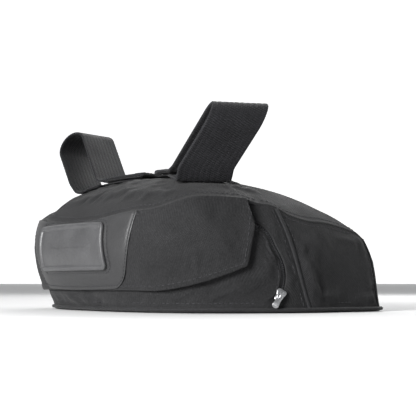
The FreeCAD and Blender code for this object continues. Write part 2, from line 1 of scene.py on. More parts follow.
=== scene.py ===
"""Looks of a soft tail bag: draped panels, storm flap, zip, webbing, seams and their stitching.

Shapes are worked out in millimetres from the design's driving dimensions, and stored in metres.
A place on the wall is (q, v): q runs round the outline from the nose (0) past the corner (1 to 2),
the side (2 to 3) and the rear corner (3 to 4) to the middle of the back (5), negative on the left;
v runs from the base (0) to the crease under the top (1). d is the distance out from the wall.
"""
import json
import math
import bmesh
import bpy
import numpy as np
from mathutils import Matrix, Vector


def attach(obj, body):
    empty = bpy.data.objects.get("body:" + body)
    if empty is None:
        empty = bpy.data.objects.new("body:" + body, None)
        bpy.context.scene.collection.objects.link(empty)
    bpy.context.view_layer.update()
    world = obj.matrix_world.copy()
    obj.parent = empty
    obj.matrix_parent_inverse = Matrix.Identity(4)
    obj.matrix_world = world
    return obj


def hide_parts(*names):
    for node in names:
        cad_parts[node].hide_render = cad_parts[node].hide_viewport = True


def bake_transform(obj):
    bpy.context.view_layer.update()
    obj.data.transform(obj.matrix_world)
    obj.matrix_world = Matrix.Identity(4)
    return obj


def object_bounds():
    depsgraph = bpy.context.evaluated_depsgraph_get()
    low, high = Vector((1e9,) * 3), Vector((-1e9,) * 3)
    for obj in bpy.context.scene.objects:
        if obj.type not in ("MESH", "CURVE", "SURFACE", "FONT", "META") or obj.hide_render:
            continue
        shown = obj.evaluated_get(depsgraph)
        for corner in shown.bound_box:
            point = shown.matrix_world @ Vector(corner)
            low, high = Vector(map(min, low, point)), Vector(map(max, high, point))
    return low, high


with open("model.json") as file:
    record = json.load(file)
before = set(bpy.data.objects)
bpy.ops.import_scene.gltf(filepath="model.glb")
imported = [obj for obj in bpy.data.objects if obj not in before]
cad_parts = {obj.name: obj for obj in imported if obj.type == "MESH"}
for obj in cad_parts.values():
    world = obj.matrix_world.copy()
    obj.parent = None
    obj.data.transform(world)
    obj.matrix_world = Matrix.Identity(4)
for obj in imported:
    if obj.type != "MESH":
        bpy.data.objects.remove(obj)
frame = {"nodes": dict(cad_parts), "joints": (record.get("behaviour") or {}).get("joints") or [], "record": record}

CAD_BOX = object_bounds()
MM = 0.001
UP = np.array([0.0, 0.0, 1.0])
RANDOM = np.random.default_rng(7)

# ---- driving dimensions ----

BASE = {"nose_y": -71.5, "reach": 84.0, "corner": (127.0, 11.5), "angle": 64.0,
        "handle": 48.0, "round": 18.0, "rear": (123.0, 89.5), "rear_round": 14.0}
CREASE = {"nose_y": -79.5, "reach": 86.0, "corner": (108.0, -2.5), "angle": 66.0,
          "handle": 46.0, "round": 17.0, "rear": (108.0, 87.5), "rear_round": 13.0}
CREASE_Z = (60.0, 66.0, 75.0, 70.0, 60.0, 49.0, 47.0)
CREASE_AT = (0.0, 0.4, 0.8, 1.5, 2.4, 3.5, 5.0)
TOP_Z = 92.5
DOME_POWER = 3.0
BULGE = (6.8, 6.0, 4.0, 5.0, 3.0, 2.0)
BULGE_AT = (0.0, 0.8, 1.5, 2.5, 3.5, 5.0)
BULGE_SKEW = 1.6

FABRIC = 1.5
FLAP_OFF = 1.6
FLAP = 2.2
FLAP_FACE = FLAP_OFF + FLAP
FLAP_TOP_V = 0.97
FLAP_LOW_Z = 15.0
FLAP_END_Z = 29.0
FLAP_HALF_Q = 0.92
PATCH = 1.0
PATCH_FACE = FLAP_FACE + 0.1 + PATCH
BADGE_HALF_X = 43.0
BADGE_HALF_Z = 13.75
BADGE_MIDDLE_Z = 42.75
BADGE_ROUND = 3.6

ZIP_V = 0.76
ZIP_FOOT_V = 0.10
ZIP_FOOT_Q = 1.07
ZIP_TOP_Q = 1.20
ZIP_BOW_Q = 0.27
ZIP_TURN_Q = 0.22
ZIP_TURN_V = 0.16
ZIP_SLOT = 1.3
SEAM_END = 3.3
CORNER_Q = 1.72
REAR_Q = 3.305
SLIDER_AT = 2.9
SLIDER_OFF = 1.9
PULL = 9.6

WEBBING = 1.8
STRAP_WIDTH = 38.0
STRAP_Y = -28.0
STRAP_TOE = math.radians(20.0)
STRAP_LEAN = 0.46
STRAP_LIFT = 0.6
STRAP_ROOT_X = 52.0
STRAP_FOOT_X = 74.0
STRAP_TAIL_X = 54.0
TAIL_END_X = 10.0
RAIL_R = 10.0
LOOP_R = RAIL_R + WEBBING / 2.0
RAIL_X = 92.0
RAIL_Z = 124.0
HOOK = 1.4


# ---- the skin of the bag ----

def between(a, b, t):
    return a + (b - a) * t


def ease(t):
    t = np.clip(t, 0.0, 1.0)
    return t * t * (3.0 - 2.0 * t)


def together(*values):
    """Numbers and arrays as arrays of one shape."""
    return np.broadcast_arrays(*(np.asarray(value, float) for value in values))


def unit(vectors):
    return vectors / np.linalg.norm(vectors, axis=-1, keepdims=True)


def bezier(points, t):
    """Places at t on a Bezier curve of any degree."""
    points = [np.asarray(p, float) for p in points]
    t = np.asarray(t, float)[..., None]
    while len(points) > 1:
        points = [a + (b - a) * t for a, b in zip(points, points[1:])]
    return points[0]


def smooth_table(places, values, x):
    places, values = np.array(places), np.array(values)
    i = np.clip(np.searchsorted(places, x), 1, len(places) - 1)
    share = ease((x - places[i - 1]) / (places[i] - places[i - 1]))
    return between(values[i - 1], values[i], share)


def wrapped(q):
    """q brought back to between -5 and 5."""
    return (q + 5.0) % 10.0 - 5.0


def crease_z(size):
    """Height of the crease at size from 0 (nose) to 5 (middle of the back)."""
    return smooth_table(CREASE_AT, CREASE_Z, size)


def outline(level, size):
    """Right half of an outline level, at size from 0 (nose) to 5 (middle of the back)."""
    angle = math.radians(level["angle"])
    flank = np.array([math.cos(angle), math.sin(angle)])
    nose = np.array([0.0, level["nose_y"]])
    reach = np.array([level["reach"], level["nose_y"]])
    corner, rear = np.array(level["corner"]), np.array(level["rear"])
    side = unit(rear - corner)
    corner_in, corner_out = corner - flank * level["round"], corner + side * level["round"]
    rear_in = rear - side * level["rear_round"]
    rear_out = rear - np.array([level["rear_round"], 0.0])
    spans = [[nose, reach, corner_in - flank * level["handle"], corner_in],
             [corner_in, corner, corner_out], [corner_out, rear_in],
             [rear_in, rear, rear_out], [rear_out, np.array([0.0, rear[1]])]]
    out = np.zeros(size.shape + (2,))
    part = np.minimum(size.astype(int), len(spans) - 1)
    for i, span in enumerate(spans):
        here = part == i
        out[here] = bezier(span, size[here] - i)
    return out


def ruled(q, v):
    """Place on the straight lines that join the base's outline to the crease's."""
    q, v = together(q, v)
    q = wrapped(q)
    size = np.abs(q)
    plan = between(outline(BASE, size), outline(CREASE, size), v[..., None])
    sign = np.where(q < 0.0, -1.0, 1.0)
    z = v * crease_z(size)
    return np.stack([sign * plan[..., 0], plan[..., 1], z], axis=-1)


def flat_normal(q, v):
    """Direction out from the wall, level with the ground."""
    step = 0.01
    along = unit(ruled(q + step, v) - ruled(q - step, v))
    return np.stack([along[..., 1], -along[..., 0], 0.0 * along[..., 0]], axis=-1)


def skin(q, v):
    """Place on the bulging wall."""
    q, v = together(q, v)
    size = np.abs(wrapped(q))
    swell = smooth_table(BULGE_AT, BULGE, size) * np.sin(
        math.pi * np.clip(v, 0.0, 1.0) ** BULGE_SKEW)
    return ruled(q, v) + flat_normal(q, v) * swell[..., None]


def skin_frame(q, v):
    """Place on the wall with its two tangents (per unit of q and of v) and its normal."""
    step = 0.004
    along = (skin(q + step, v) - skin(q - step, v)) * (0.5 / step)
    up = (skin(q, v + step) - skin(q, v - step)) * (0.5 / step)
    return skin(q, v), along, up, unit(np.cross(along, up))


def wall(q, v, d=0.0):
    """Place at d out from the wall fabric's face, never under the base."""
    place, _, _, out = skin_frame(np.asarray(q, float), np.asarray(v, float))
    place = place + out * np.asarray(d, float)[..., None]
    place[..., 2] = np.maximum(place[..., 2], 0.0)
    return place


def v_at(q, z):
    """v of the wall's height z at q."""
    return z / crease_z(np.abs(q))


RING_Q = np.linspace(-5.0, 5.0, 1001)
RING = skin(RING_Q[:-1], 1.0)
RING_ANGLE = np.arctan2(RING[:, 1], RING[:, 0])
RING_REACH = np.hypot(RING[:, 0], RING[:, 1])


def round_ring(angle, values):
    """Value at an angle round the crease, from values at the places of RING."""
    return np.interp(angle, RING_ANGLE, values, period=2.0 * math.pi)


def top_share(x, y):
    """0 over the middle of the top to 1 at its crease."""
    return np.hypot(x, y) / round_ring(np.arctan2(y, x), RING_REACH)


def dome_z(x, y):
    """Height of the top panel over (x, y)."""
    angle = np.arctan2(y, x)
    edge_z = round_ring(angle, RING[:, 2])
    power = DOME_POWER - np.maximum(np.sin(angle), 0.0)
    return edge_z + (TOP_Z - edge_z) * (1.0 - top_share(x, y) ** power)


# ---- the zip's line ----

def zip_q(v):
    """q of the zip's bowed corner run at v."""
    share = (v - ZIP_FOOT_V) / (ZIP_V - ZIP_FOOT_V)
    bow = np.sin(math.pi * np.clip(share, 0.0, 1.0) ** 0.85)
    return between(ZIP_FOOT_Q, ZIP_TOP_Q, share) + ZIP_BOW_Q * bow


def zip_path(t):
    """The closed zip from its left foot (-3) round the nose (0) to its right foot (3)."""
    t = np.asarray(t, float)
    sign, size = np.where(t < 0.0, -1.0, 1.0), np.abs(t)
    end_v = ZIP_V - ZIP_TURN_V
    end_q = zip_q(end_v)
    turn = bezier([(end_q - ZIP_TURN_Q, ZIP_V), (end_q, ZIP_V), (end_q, end_v)],
                  np.clip(size - 1.0, 0.0, 1.0))
    run_v = between(end_v, ZIP_FOOT_V, np.clip(size - 2.0, 0.0, 1.0))
    seam = np.clip((size - 3.0) / (SEAM_END - 3.0), 0.0, None)
    spans = [size <= 1.0, size <= 2.0, size <= 3.0]
    q = np.select(spans, [size * (end_q - ZIP_TURN_Q), turn[..., 0], zip_q(run_v)],
                  ZIP_FOOT_Q - 0.06 * seam)
    v = np.select(spans, [ZIP_V + 0.0 * size, turn[..., 1], run_v], ZIP_FOOT_V * (1.0 - seam))
    return sign * q, v


def zip_frame(t):
    """(q, v) on the zip's line, with its direction, the direction across it and the normal."""
    step = 0.002
    q, v = zip_path(t)
    along = unit(skin(*zip_path(t + step)) - skin(*zip_path(t - step)))
    out = skin_frame(q, v)[3]
    return q, v, along, unit(np.cross(out, along)), out


def beside_zip(t, distance):
    """(q, v) beside the zip's line. A positive distance is above it or forward of it."""
    q, v, _, across, _ = zip_frame(t)
    _, along, up, _ = skin_frame(q, v)
    aa, bb, ab = (np.sum(x * y, axis=-1) for x, y in ((along, along), (up, up), (along, up)))
    da, db = np.sum(along * across, axis=-1), np.sum(up * across, axis=-1)
    scale = distance / (aa * bb - ab * ab)
    return q + (da * bb - db * ab) * scale, v + (db * aa - da * ab) * scale


# The slot between the cloth's edges beside the zip's corner run, which closes at its foot.
SIDE_T = np.linspace(1.0, SEAM_END - 0.01, 400)
SLOT = between(ZIP_SLOT, 0.1, np.clip((SIDE_T - 2.99) / 0.06, 0.0, 1.0))


def zip_side(v, sign):
    """How far round the wall the fabric's edge beside the corner run is, at height v."""
    q, height = beside_zip(SIDE_T, sign * SLOT)
    return np.interp(v, height[::-1], q[::-1])


# ---- making meshes ----

def made(name, points, faces, material, uv=None, body=None):
    """Smooth mesh object from points in millimetres."""
    mesh = bpy.data.meshes.new(name)
    mesh.from_pydata((np.asarray(points, float).reshape(-1, 3) * MM).tolist(), [],
                     [tuple(int(i) for i in f) for f in faces])
    work = bmesh.new()
    work.from_mesh(mesh)
    bmesh.ops.recalc_face_normals(work, faces=work.faces)
    work.to_mesh(mesh)
    work.free()
    mesh.polygons.foreach_set("use_smooth", [True] * len(mesh.polygons))
    if uv is not None:
        layer = mesh.uv_layers.new(name="weave")
        corners = np.zeros(len(mesh.loops), int)
        mesh.loops.foreach_get("vertex_index", corners)
        layer.data.foreach_set("uv", (np.asarray(uv) * MM)[corners].ravel())
    mesh.materials.append(MATERIALS[material])
    mesh.update()
    obj = bpy.data.objects.new(name, mesh)
    bpy.context.scene.collection.objects.link(obj)
    if body:
        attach(obj, body)
    return obj


def grid_faces(n, m, start=0, wrap=False, flip=False):
    """Quads of an n by m grid of points. wrap joins its last column to its first."""
    i, j = np.meshgrid(np.arange(n - 1), np.arange(m if wrap else m - 1), indexing="ij")
    k = (j + 1) % m
    quads = np.stack([i * m + j, (i + 1) * m + j, (i + 1) * m + k, i * m + k], axis=-1)
    quads = quads.reshape(-1, 4) + start
    return quads[:, ::-1] if flip else quads


def ring_faces(n, m, start=0, closed=False):
    """Faces of n rings of m points each, closed into a loop or capped at both ends."""
    faces = grid_faces(n, m, start, wrap=True).tolist()
    last = start + (n - 1) * m
    if closed:
        return faces + [(last + j, start + j, start + (j + 1) % m, last + (j + 1) % m)
                        for j in range(m)]
    return faces + [tuple(range(start, start + m)), tuple(range(last + m - 1, last - 1, -1))]


def rim_faces(n, m):
    """Quads that join the edge of one n by m grid to the edge of the next one."""
    edge = ([(i, 0) for i in range(n)] + [(n - 1, j) for j in range(1, m)]
            + [(i, m - 1) for i in range(n - 2, -1, -1)] + [(0, j) for j in range(m - 2, 0, -1)])
    ids = np.array([i * m + j for i, j in edge])
    after = np.roll(ids, -1)
    return np.stack([ids, after, after + n * m, ids + n * m], axis=-1)


def circle(count):
    return np.linspace(0.0, 2.0 * math.pi, count, endpoint=False)


def run_along(points, axis=0):
    """Distance from the first point to each one along an axis of an array of points."""
    first = np.take(points, [0], axis)
    return np.linalg.norm(np.diff(points, axis=axis, prepend=first), axis=-1).cumsum(axis=axis)


def grid_uv(points):
    """Distances along the two directions of a grid of points, in millimetres."""
    return np.stack([run_along(points), run_along(points, 1)], axis=-1).reshape(-1, 2)


def edged(count, share):
    """Steps from 0 to 1 with a few more in the rounded edge at each end."""
    near = share * np.array([0.0, 0.12, 0.4])
    return np.concatenate([near, np.linspace(share, 1.0 - share, count), 1.0 - near[::-1]])


def rounded_edge(steps, share):
    """0 on the flat of a panel to 1 at its very edge."""
    t = np.clip(np.minimum(steps, 1.0 - steps) / share, 0.0, 1.0)
    return 1.0 - np.sqrt(1.0 - (1.0 - t) ** 2)


# Share of its thickness that a panel's turned edge loses on each face, and how far a hem rises.
EDGE_LOSS = 0.46
HEM_RISE = 0.4


def panel(name, surface, size, material, body=None, face=0.0, thick=FABRIC, edge=1.0, pitch=2.2,
          hem=0.0):
    """Closed panel with turned edges. surface(a, b, d) gives its places, a and b from 0 to 1."""
    shares = [min(edge / s, 0.2) for s in size]
    a, b = (edged(max(int(s / pitch), 6), share) for s, share in zip(size, shares))
    turn = np.maximum(*np.meshgrid(rounded_edge(a, shares[0]), rounded_edge(b, shares[1]),
                                   indexing="ij"))
    a, b = np.meshgrid(a, b, indexing="ij")
    away = np.minimum(np.minimum(a, 1.0 - a) * size[0], np.minimum(b, 1.0 - b) * size[1])
    raised = HEM_RISE * ease(hem + 1.0 - away) if hem else 0.0
    lost = EDGE_LOSS * thick * turn
    outer = surface(a, b, face + raised - lost)
    inner = surface(a, b, face - thick + lost)
    n, m = a.shape
    uv = grid_uv(outer)
    return made(name, np.concatenate([outer.reshape(-1, 3), inner.reshape(-1, 3)]),
                np.concatenate([grid_faces(n, m), grid_faces(n, m, n * m, flip=True),
                                rim_faces(n, m)]),
                material, np.concatenate([uv, uv]), body)


def swept(name, spots, across, out, profile, material, body=None, closed=False, scale=None):
    """Closed profile carried along a path. profile holds (across, out) places, in millimetres."""
    profile = np.asarray(profile, float)
    lift = np.ones(len(spots)) if scale is None else scale
    points = (spots[:, None] + across[:, None] * profile[None, :, :1]
              + out[:, None] * (profile[None, :, 1:] * lift[:, None, None]))
    n, m = points.shape[:2]
    uv = np.stack(np.meshgrid(run_along(spots), run_along(profile), indexing="ij"), axis=-1)
    return made(name, points, ring_faces(n, m, closed=closed), material, uv.reshape(-1, 2), body)


# One stitch: places along it, its radius there and how far it dips, as shares of the radius.
THREAD_ALONG = np.array([-1.0, -0.86, -0.4, 0.4, 0.86, 1.0])
THREAD_RADIUS = np.array([0.15, 0.7, 1.0, 1.0, 0.7, 0.15])
THREAD_LIFT = np.array([-0.9, -0.2, 0.25, 0.25, -0.2, -0.9])


def threads(name, rows, body=None, material="thread", length=2.5, gap=0.9, radius=0.27):
    """Rows of stitches. Each row is (spots, normals) along one seam, in millimetres."""
    corners = circle(6)[None, :, None]
    points, faces, base = [], [], 0
    for spots, normals in rows:
        run = run_along(spots)
        count = max(int(run[-1] / (length + gap)), 1)
        at = (np.arange(count) + 0.5) * run[-1] / count
        half = (run[-1] / count - gap) / 2.0
        middle, before, after, out = (
            np.stack([np.interp(s, run, values[:, k]) for k in range(3)], axis=-1)
            for s, values in ((at, spots), (at - half, spots), (at + half, spots), (at, normals)))
        along, out = (after - before) / 2.0, unit(out)
        side = unit(np.cross(out, along))
        for m, a, o, s in zip(middle, along, out, side):
            ring = np.cos(corners) * s + np.sin(corners) * o
            tube = (m + THREAD_ALONG[:, None, None] * a
                    + ring * (THREAD_RADIUS * radius)[:, None, None]
                    + o * (THREAD_LIFT * radius)[:, None, None])
            n, k = tube.shape[:2]
            points.append(tube.reshape(-1, 3))
            faces += ring_faces(n, k, base)
            base += n * k
    return made(name, np.concatenate(points), faces, material, body=body)


def row(surface, a, b, d):
    """A seam's line on a surface, as spots and normals."""
    a, b = together(a, b)
    spots = surface(a, b, d)
    return spots, surface(a, b, d + 1.0) - spots


# ---- slack cloth ----

def smooth_lookup(field, a, b):
    """Catmull-Rom value of a grid of vectors at places a and b from 0 to 1."""
    def weights(x, count):
        x = np.clip(x, 0.0, 1.0) * (count - 1)
        i = np.clip(x.astype(int), 0, count - 2)
        t = x - i
        w = [((2.0 - t) * t - 1.0) * t / 2.0, ((3.0 * t - 5.0) * t * t + 2.0) / 2.0,
             ((4.0 - 3.0 * t) * t + 1.0) * t / 2.0, (t - 1.0) * t * t / 2.0]
        return [(np.clip(i + k - 1, 0, count - 1), w[k]) for k in range(4)]
    total = 0.0
    for i, wi in weights(a, field.shape[0]):
        for j, wj in weights(b, field.shape[1]):
            total = total + field[i, j] * (wi * wj)[..., None]
    return total


def waves(shape, cells, seed):
    """Smooth random field between about -1 and 1."""
    lattice = np.random.default_rng(seed).uniform(-1.0, 1.0, (cells[0], cells[1], 1))
    a, b = np.meshgrid(np.linspace(0, 1, shape[0]), np.linspace(0, 1, shape[1]), indexing="ij")
    return smooth_lookup(lattice, a, b)[..., 0]


SLACK_STEPS = 18
SLACK_GRAVITY = 0.15
INWARD_LOSS = 0.85
CLOTH = {"quality": 6, "mass": 0.2, "tension_stiffness": 18.0, "compression_stiffness": 18.0,
         "shear_stiffness": 6.0, "air_damping": 3.0, "pin_stiffness": 4.0}


def settled(start, free, growth, stiff):
    """Where a grid of places in millimetres comes to lie, as cloth that is growth too large.

    free is 1 where the cloth may move and 0 where it is held.
    """
    n, m = free.shape
    scene = bpy.context.scene
    mesh = bpy.data.meshes.new("slack")
    mesh.from_pydata((start.reshape(-1, 3) * MM).tolist(), [], grid_faces(n, m).tolist())
    obj = bpy.data.objects.new("slack", mesh)
    scene.collection.objects.link(obj)
    group = obj.vertex_groups.new(name="held")
    for i, share in enumerate(free.ravel()):
        group.add([i], float(1.0 - share), "REPLACE")
    cloth = obj.modifiers.new("cloth", "CLOTH")
    cloth.collision_settings.use_collision = False
    for key, value in CLOTH.items():
        setattr(cloth.settings, key, value)
    cloth.settings.vertex_group_mass = group.name
    cloth.settings.shrink_min = -growth
    cloth.settings.bending_stiffness = stiff
    cloth.settings.effector_weights.gravity = SLACK_GRAVITY
    for step in range(1, SLACK_STEPS + 1):
        scene.frame_set(step)
    done = obj.evaluated_get(bpy.context.evaluated_depsgraph_get())
    moved = np.zeros(n * m * 3)
    done.data.vertices.foreach_get("co", moved)
    scene.frame_set(1)
    bpy.data.objects.remove(obj)
    bpy.data.meshes.remove(mesh)
    return moved.reshape(n, m, 3) / MM


def slack(place, size, growth, cap, seed, pinned=4.0, pitch=3.6, held=None, stiff=0.6):
    """How a panel cut a little too large buckles between its seams, by cloth simulation.

    Returns offset(a, b) in millimetres. held(a, b) adds places that can't move. The simulation
    knows nothing of the foam behind the cloth, so most of what moves inwards is taken off.
    """
    n, m = (max(int(s / pitch), 8) for s in size)
    a, b = np.meshgrid(np.linspace(0, 1, n), np.linspace(0, 1, m), indexing="ij")
    flat = place(a, b, 0.0)
    normal = unit(place(a, b, 1.0) - flat)
    away = np.minimum(np.minimum(a, 1.0 - a) * size[0], np.minimum(b, 1.0 - b) * size[1])
    free = ease((away - pinned) / 6.0)
    if held is not None:
        free = free * (1.0 - held(a, b))
    push = waves(a.shape, (max(n // 5, 4), max(m // 5, 4)), seed) * free
    start = flat + normal * (push * 0.7)[..., None]
    offset = settled(start, free, growth, stiff) - flat
    far = np.linalg.norm(offset, axis=-1, keepdims=True)
    offset *= cap * np.tanh(far / cap) / np.maximum(far, 1e-6)
    offset *= free[..., None]
    inward = np.minimum((offset * normal).sum(axis=-1, keepdims=True), 0.0)
    offset -= INWARD_LOSS * inward * normal
    return lambda x, y: smooth_lookup(offset, np.asarray(x, float), np.asarray(y, float))


def fold_height(points, folds):
    """Height of soft folds, each (start, end, half width, height), along lines on the surface."""
    total = np.zeros(points.shape[:-1])
    for start, end, width, height in folds:
        line = end - start
        t = np.clip(((points - start) @ line) / (line @ line), 0.0, 1.0)
        near = np.linalg.norm(points - start - t[..., None] * line, axis=-1) / width
        total += height * np.exp(-near ** 2) * (0.35 + 0.65 * np.sin(math.pi * t) ** 0.7)
    return total


def wall_folds(places):
    """Folds from (q, v) to (q, v) on the wall, with a half width and a height."""
    return [(wall(q0, v0), wall(q1, v1), width, height)
            for q0, v0, q1, v1, width, height in places]


def draped(place, size, growth, cap, seed, folds=(), **more):
    """place(a, b, d) with the slack and the folds of real cloth."""
    offset = slack(place, size, growth, cap, seed, **more)
    lines = wall_folds(folds)

    def surface(a, b, d):
        a, b = together(a, b)
        d = np.broadcast_to(np.asarray(d, float), a.shape)
        if lines:
            d = d + fold_height(place(a, b, 0.0 * d), lines)
        return place(a, b, d) + offset(a, b)
    return surface


# ---- materials ----

class Tree:
    """A material's nodes, added and linked in one call each."""

    def __init__(self, name):
        self.material = bpy.data.materials.new(name)
        self.material.use_nodes = True
        self.nodes = self.material.node_tree.nodes
        self.links = self.material.node_tree.links
        self.shader = self.nodes["Principled BSDF"]
        self.place = self.add("TexCoord").outputs["Object"]

    def add(self, kind, links=None, values=None, **settings):
        node = self.nodes.new("ShaderNode" + kind)
        for key, value in settings.items():
            setattr(node, key, value)
        for key, value in (values or {}).items():
            node.inputs[key].default_value = value
        for key, source in (links or {}).items():
            self.links.new(source, node.inputs[key])
        return node

    def math(self, operation, a, b=None):
        node = self.add("Math", operation=operation)
        for i, x in enumerate((a, b)):
            if x is None:
                continue
            if isinstance(x, (int, float)):
                node.inputs[i].default_value = x
            else:
                self.links.new(x, node.inputs[i])
        return node.outputs[0]

    def set(self, socket, value):
        """A number all over, or another node's output, on the shader's own socket."""
        if isinstance(value, float):
            self.shader.inputs[socket].default_value = value
        else:
            self.links.new(value, self.shader.inputs[socket])

    def noise(self, scale, detail=3.0, where=None):
        return self.add("TexNoise", {"Vector": where or self.place},
                        {"Scale": scale, "Detail": detail, "Roughness": 0.55}).outputs["Fac"]

    def mix(self, factor, low, high):
        node = self.add("Mix", {"Factor": factor}, data_type="RGBA")
        for socket, colour in ((node.inputs[6], low), (node.inputs[7], high)):
            if isinstance(colour, tuple):
                socket.default_value = (*colour, 1.0)
            else:
                self.links.new(colour, socket)
        return node.outputs[2]

    def ramp(self, factor, low, high, to_low=0.0, to_high=1.0):
        values = {"From Min": low, "From Max": high, "To Min": to_low, "To Max": to_high}
        return self.add("MapRange", {"Value": factor}, values).outputs[0]

    def bump(self, height, distance, under=None):
        links = {"Height": height}
        if under:
            links["Normal"] = under
        return self.add("Bump", links, {"Distance": distance, "Strength": 1.0}).outputs[0]

    def rubbed(self, base, lighter, edge_high, patches):
        """The base colour, lighter in patches along edges that rub."""
        pointed = self.add("NewGeometry").outputs["Pointiness"]
        rub = self.math("MULTIPLY", self.ramp(pointed, 0.515, edge_high), patches)
        return self.mix(rub, base, lighter)


def tinted(colour, factor):
    """The colour made lighter or darker by a factor."""
    return tuple(min(c * factor, 1.0) for c in colour)


def textile(name, colour, pitch=0.9, weave=0.0001, rough=0.8, slub=0.00025, ribs=False):
    """Woven cloth: two crossing threads, slubs, uneven dye and edges rubbed lighter."""
    tree = Tree(name)
    uv = tree.add("UVMap", uv_map="weave").outputs["UV"]
    split = tree.add("SeparateXYZ", {"Vector": uv})
    turn = math.pi / (pitch * MM)
    warp = tree.math("SINE", tree.math("MULTIPLY", split.outputs[0], turn))
    across = turn * (0.5 if ribs else 1.0)
    weft = tree.math("SINE", tree.math("MULTIPLY", split.outputs[1], across))
    height = tree.math("MULTIPLY", warp, weft)
    cloud = tree.noise(38.0, 4.0)
    speck = tree.noise(900.0, 2.0)
    drift = tree.math("ADD", tree.math("MULTIPLY", cloud, 0.4), tree.math("MULTIPLY", speck, 0.6))
    base = tree.mix(tree.ramp(drift, 0.38, 0.62), tinted(colour, 0.55), tinted(colour, 1.5))
    base = tree.mix(tree.ramp(height, 1.0, -1.0), base, tinted(colour, 0.8))
    base = tree.rubbed(base, tinted(colour, 1.5), 0.56, tree.ramp(speck, 0.3, 0.7))
    tree.set("Base Color", base)
    tree.set("Roughness", tree.ramp(cloud, 0.3, 0.7, rough - 0.07, rough + 0.08))
    tree.set("Normal", tree.bump(height, weave, tree.bump(tree.noise(260.0), slub)))
    tree.set("Sheen Weight", 0.05)
    tree.set("Sheen Roughness", 0.45)
    tree.set("Specular IOR Level", 0.1)
    return tree.material


def grained(name, colour, cells=700.0, depth=0.00012, rough=0.45, cloud_scale=30.0):
    """Leather, rubber or moulded plastic: a pebbled grain with scuffs and rubbed edges."""
    tree = Tree(name)
    pebble = tree.add("TexVoronoi", {"Vector": tree.place}, {"Scale": cells},
                      feature="SMOOTH_F1").outputs["Distance"]
    cloud = tree.noise(cloud_scale, 5.0)
    fine = tree.noise(cells * 1.6, 2.0)
    base = tree.mix(tree.ramp(cloud, 0.32, 0.68), tinted(colour, 0.8), tinted(colour, 1.2))
    base = tree.mix(tree.ramp(pebble, 0.1, 0.9), base, tinted(colour, 0.72))
    base = tree.rubbed(base, tinted(colour, 1.6), 0.57, tree.ramp(fine, 0.35, 0.65))
    tree.set("Base Color", base)
    tree.set("Roughness", tree.ramp(cloud, 0.3, 0.7, rough - 0.08, rough + 0.1))
    normal = tree.bump(pebble, depth, tree.bump(cloud, 0.0006))
    tree.set("Normal", tree.bump(fine, depth * 0.4, normal))
    tree.set("Specular IOR Level", 0.5)
    return tree.material


def metal(name, colour):
    """Plated zinc with fine scratches and worn edges."""
    tree = Tree(name)
    stretch = tree.add("Mapping", {"Vector": tree.place}, {"Scale": (900.0, 900.0, 6000.0)})
    scratch = tree.noise(1.0, 3.0, stretch.outputs[0])
    cloud = tree.noise(400.0, 3.0)
    pointed = tree.add("NewGeometry").outputs["Pointiness"]
    base = tree.mix(tree.ramp(cloud, 0.3, 0.7), tinted(colour, 0.75), tinted(colour, 1.15))
    tree.set("Base Color", tree.mix(tree.ramp(pointed, 0.52, 0.6), base, tinted(colour, 1.8)))
    tree.set("Roughness", tree.ramp(scratch, 0.3, 0.7, 0.22, 0.47))
    tree.set("Normal", tree.bump(scratch, 0.00002))
    tree.set("Metallic", 1.0)
    return tree.material


MATERIALS = {
    "cloth": textile("cloth", (0.02, 0.02, 0.0208), pitch=0.8, rough=0.78),
    "base_cloth": textile("base_cloth", (0.022, 0.022, 0.023), pitch=1.6, weave=0.0003),
    "board": grained("board", (0.02, 0.02, 0.021), rough=0.6),
    "foam": grained("foam", (0.06, 0.06, 0.065), cells=1400.0, depth=0.0004, rough=0.9),
    "piping": textile("piping", (0.02, 0.02, 0.021), pitch=0.6, rough=0.6),
    "zip_tape": textile("zip_tape", (0.015, 0.015, 0.016), pitch=0.7, rough=0.85),
    "zip_coil": grained("zip_coil", (0.018, 0.018, 0.02), rough=0.35, depth=0.00003),
    "zip_metal": metal("zip_metal", (0.42, 0.42, 0.43)),
    "leather": grained("leather", (0.024, 0.024, 0.025), cells=900.0, depth=0.00009, rough=0.5),
    "badge": grained("badge", (0.055, 0.055, 0.057), cells=1500.0, depth=0.00006, rough=0.42,
                     cloud_scale=60.0),
    "thread": textile("thread", (0.026, 0.026, 0.028), pitch=0.4, rough=0.5, slub=0.00005),
    "webbing": textile("webbing", (0.014, 0.014, 0.0155), pitch=0.75, weave=0.0002, rough=0.62,
                       ribs=True),
    "hook_loop": textile("hook_loop", (0.014, 0.014, 0.015), pitch=0.9, weave=0.0003,
                         slub=0.0006, rough=0.9),
}


# ---- walls ----

SIDES = (("right", 1.0), ("left", -1.0))


def wall_row(q, v, d=0.1):
    """A stitch line through (q, v) places on the wall, as spots and normals."""
    q, v = together(q, v)
    return wall(q, v, d), skin_frame(q, v)[3]


def cloth_panel(name, node, place, size, pitch=2.2, **slackness):
    """A piece of the body's cloth in place of a CAD node, slack where it is cut too large."""
    surface = draped(place, size, **slackness) if slackness else place
    obj = panel(name, surface, size, "cloth", "shell", pitch=pitch)
    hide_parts(node)


def front_wall():
    """Wall round the nose, under the zip and the flap."""
    top_v = beside_zip(1.0, -ZIP_SLOT)[1]

    def place(a, b, d):
        v = top_v * b
        return wall((2.0 * a - 1.0) * zip_side(v, -1.0), v, d)
    cloth_panel("front_wall_cloth", "front_wall", place, (330.0, 50.0), pitch=1.9, growth=0.035,
                cap=1.6, seed=3, folds=[
                    (-0.12, 0.19, -0.02, 0.05, 2.6, 1.3), (-0.02, 0.16, 0.05, 0.04, 2.0, 0.9),
                    (0.10, 0.20, 0.06, 0.06, 2.2, -0.8), (0.98, 0.62, 1.12, 0.25, 5.0, 1.0),
                    (0.86, 0.20, 1.02, 0.08, 4.0, 0.9)])


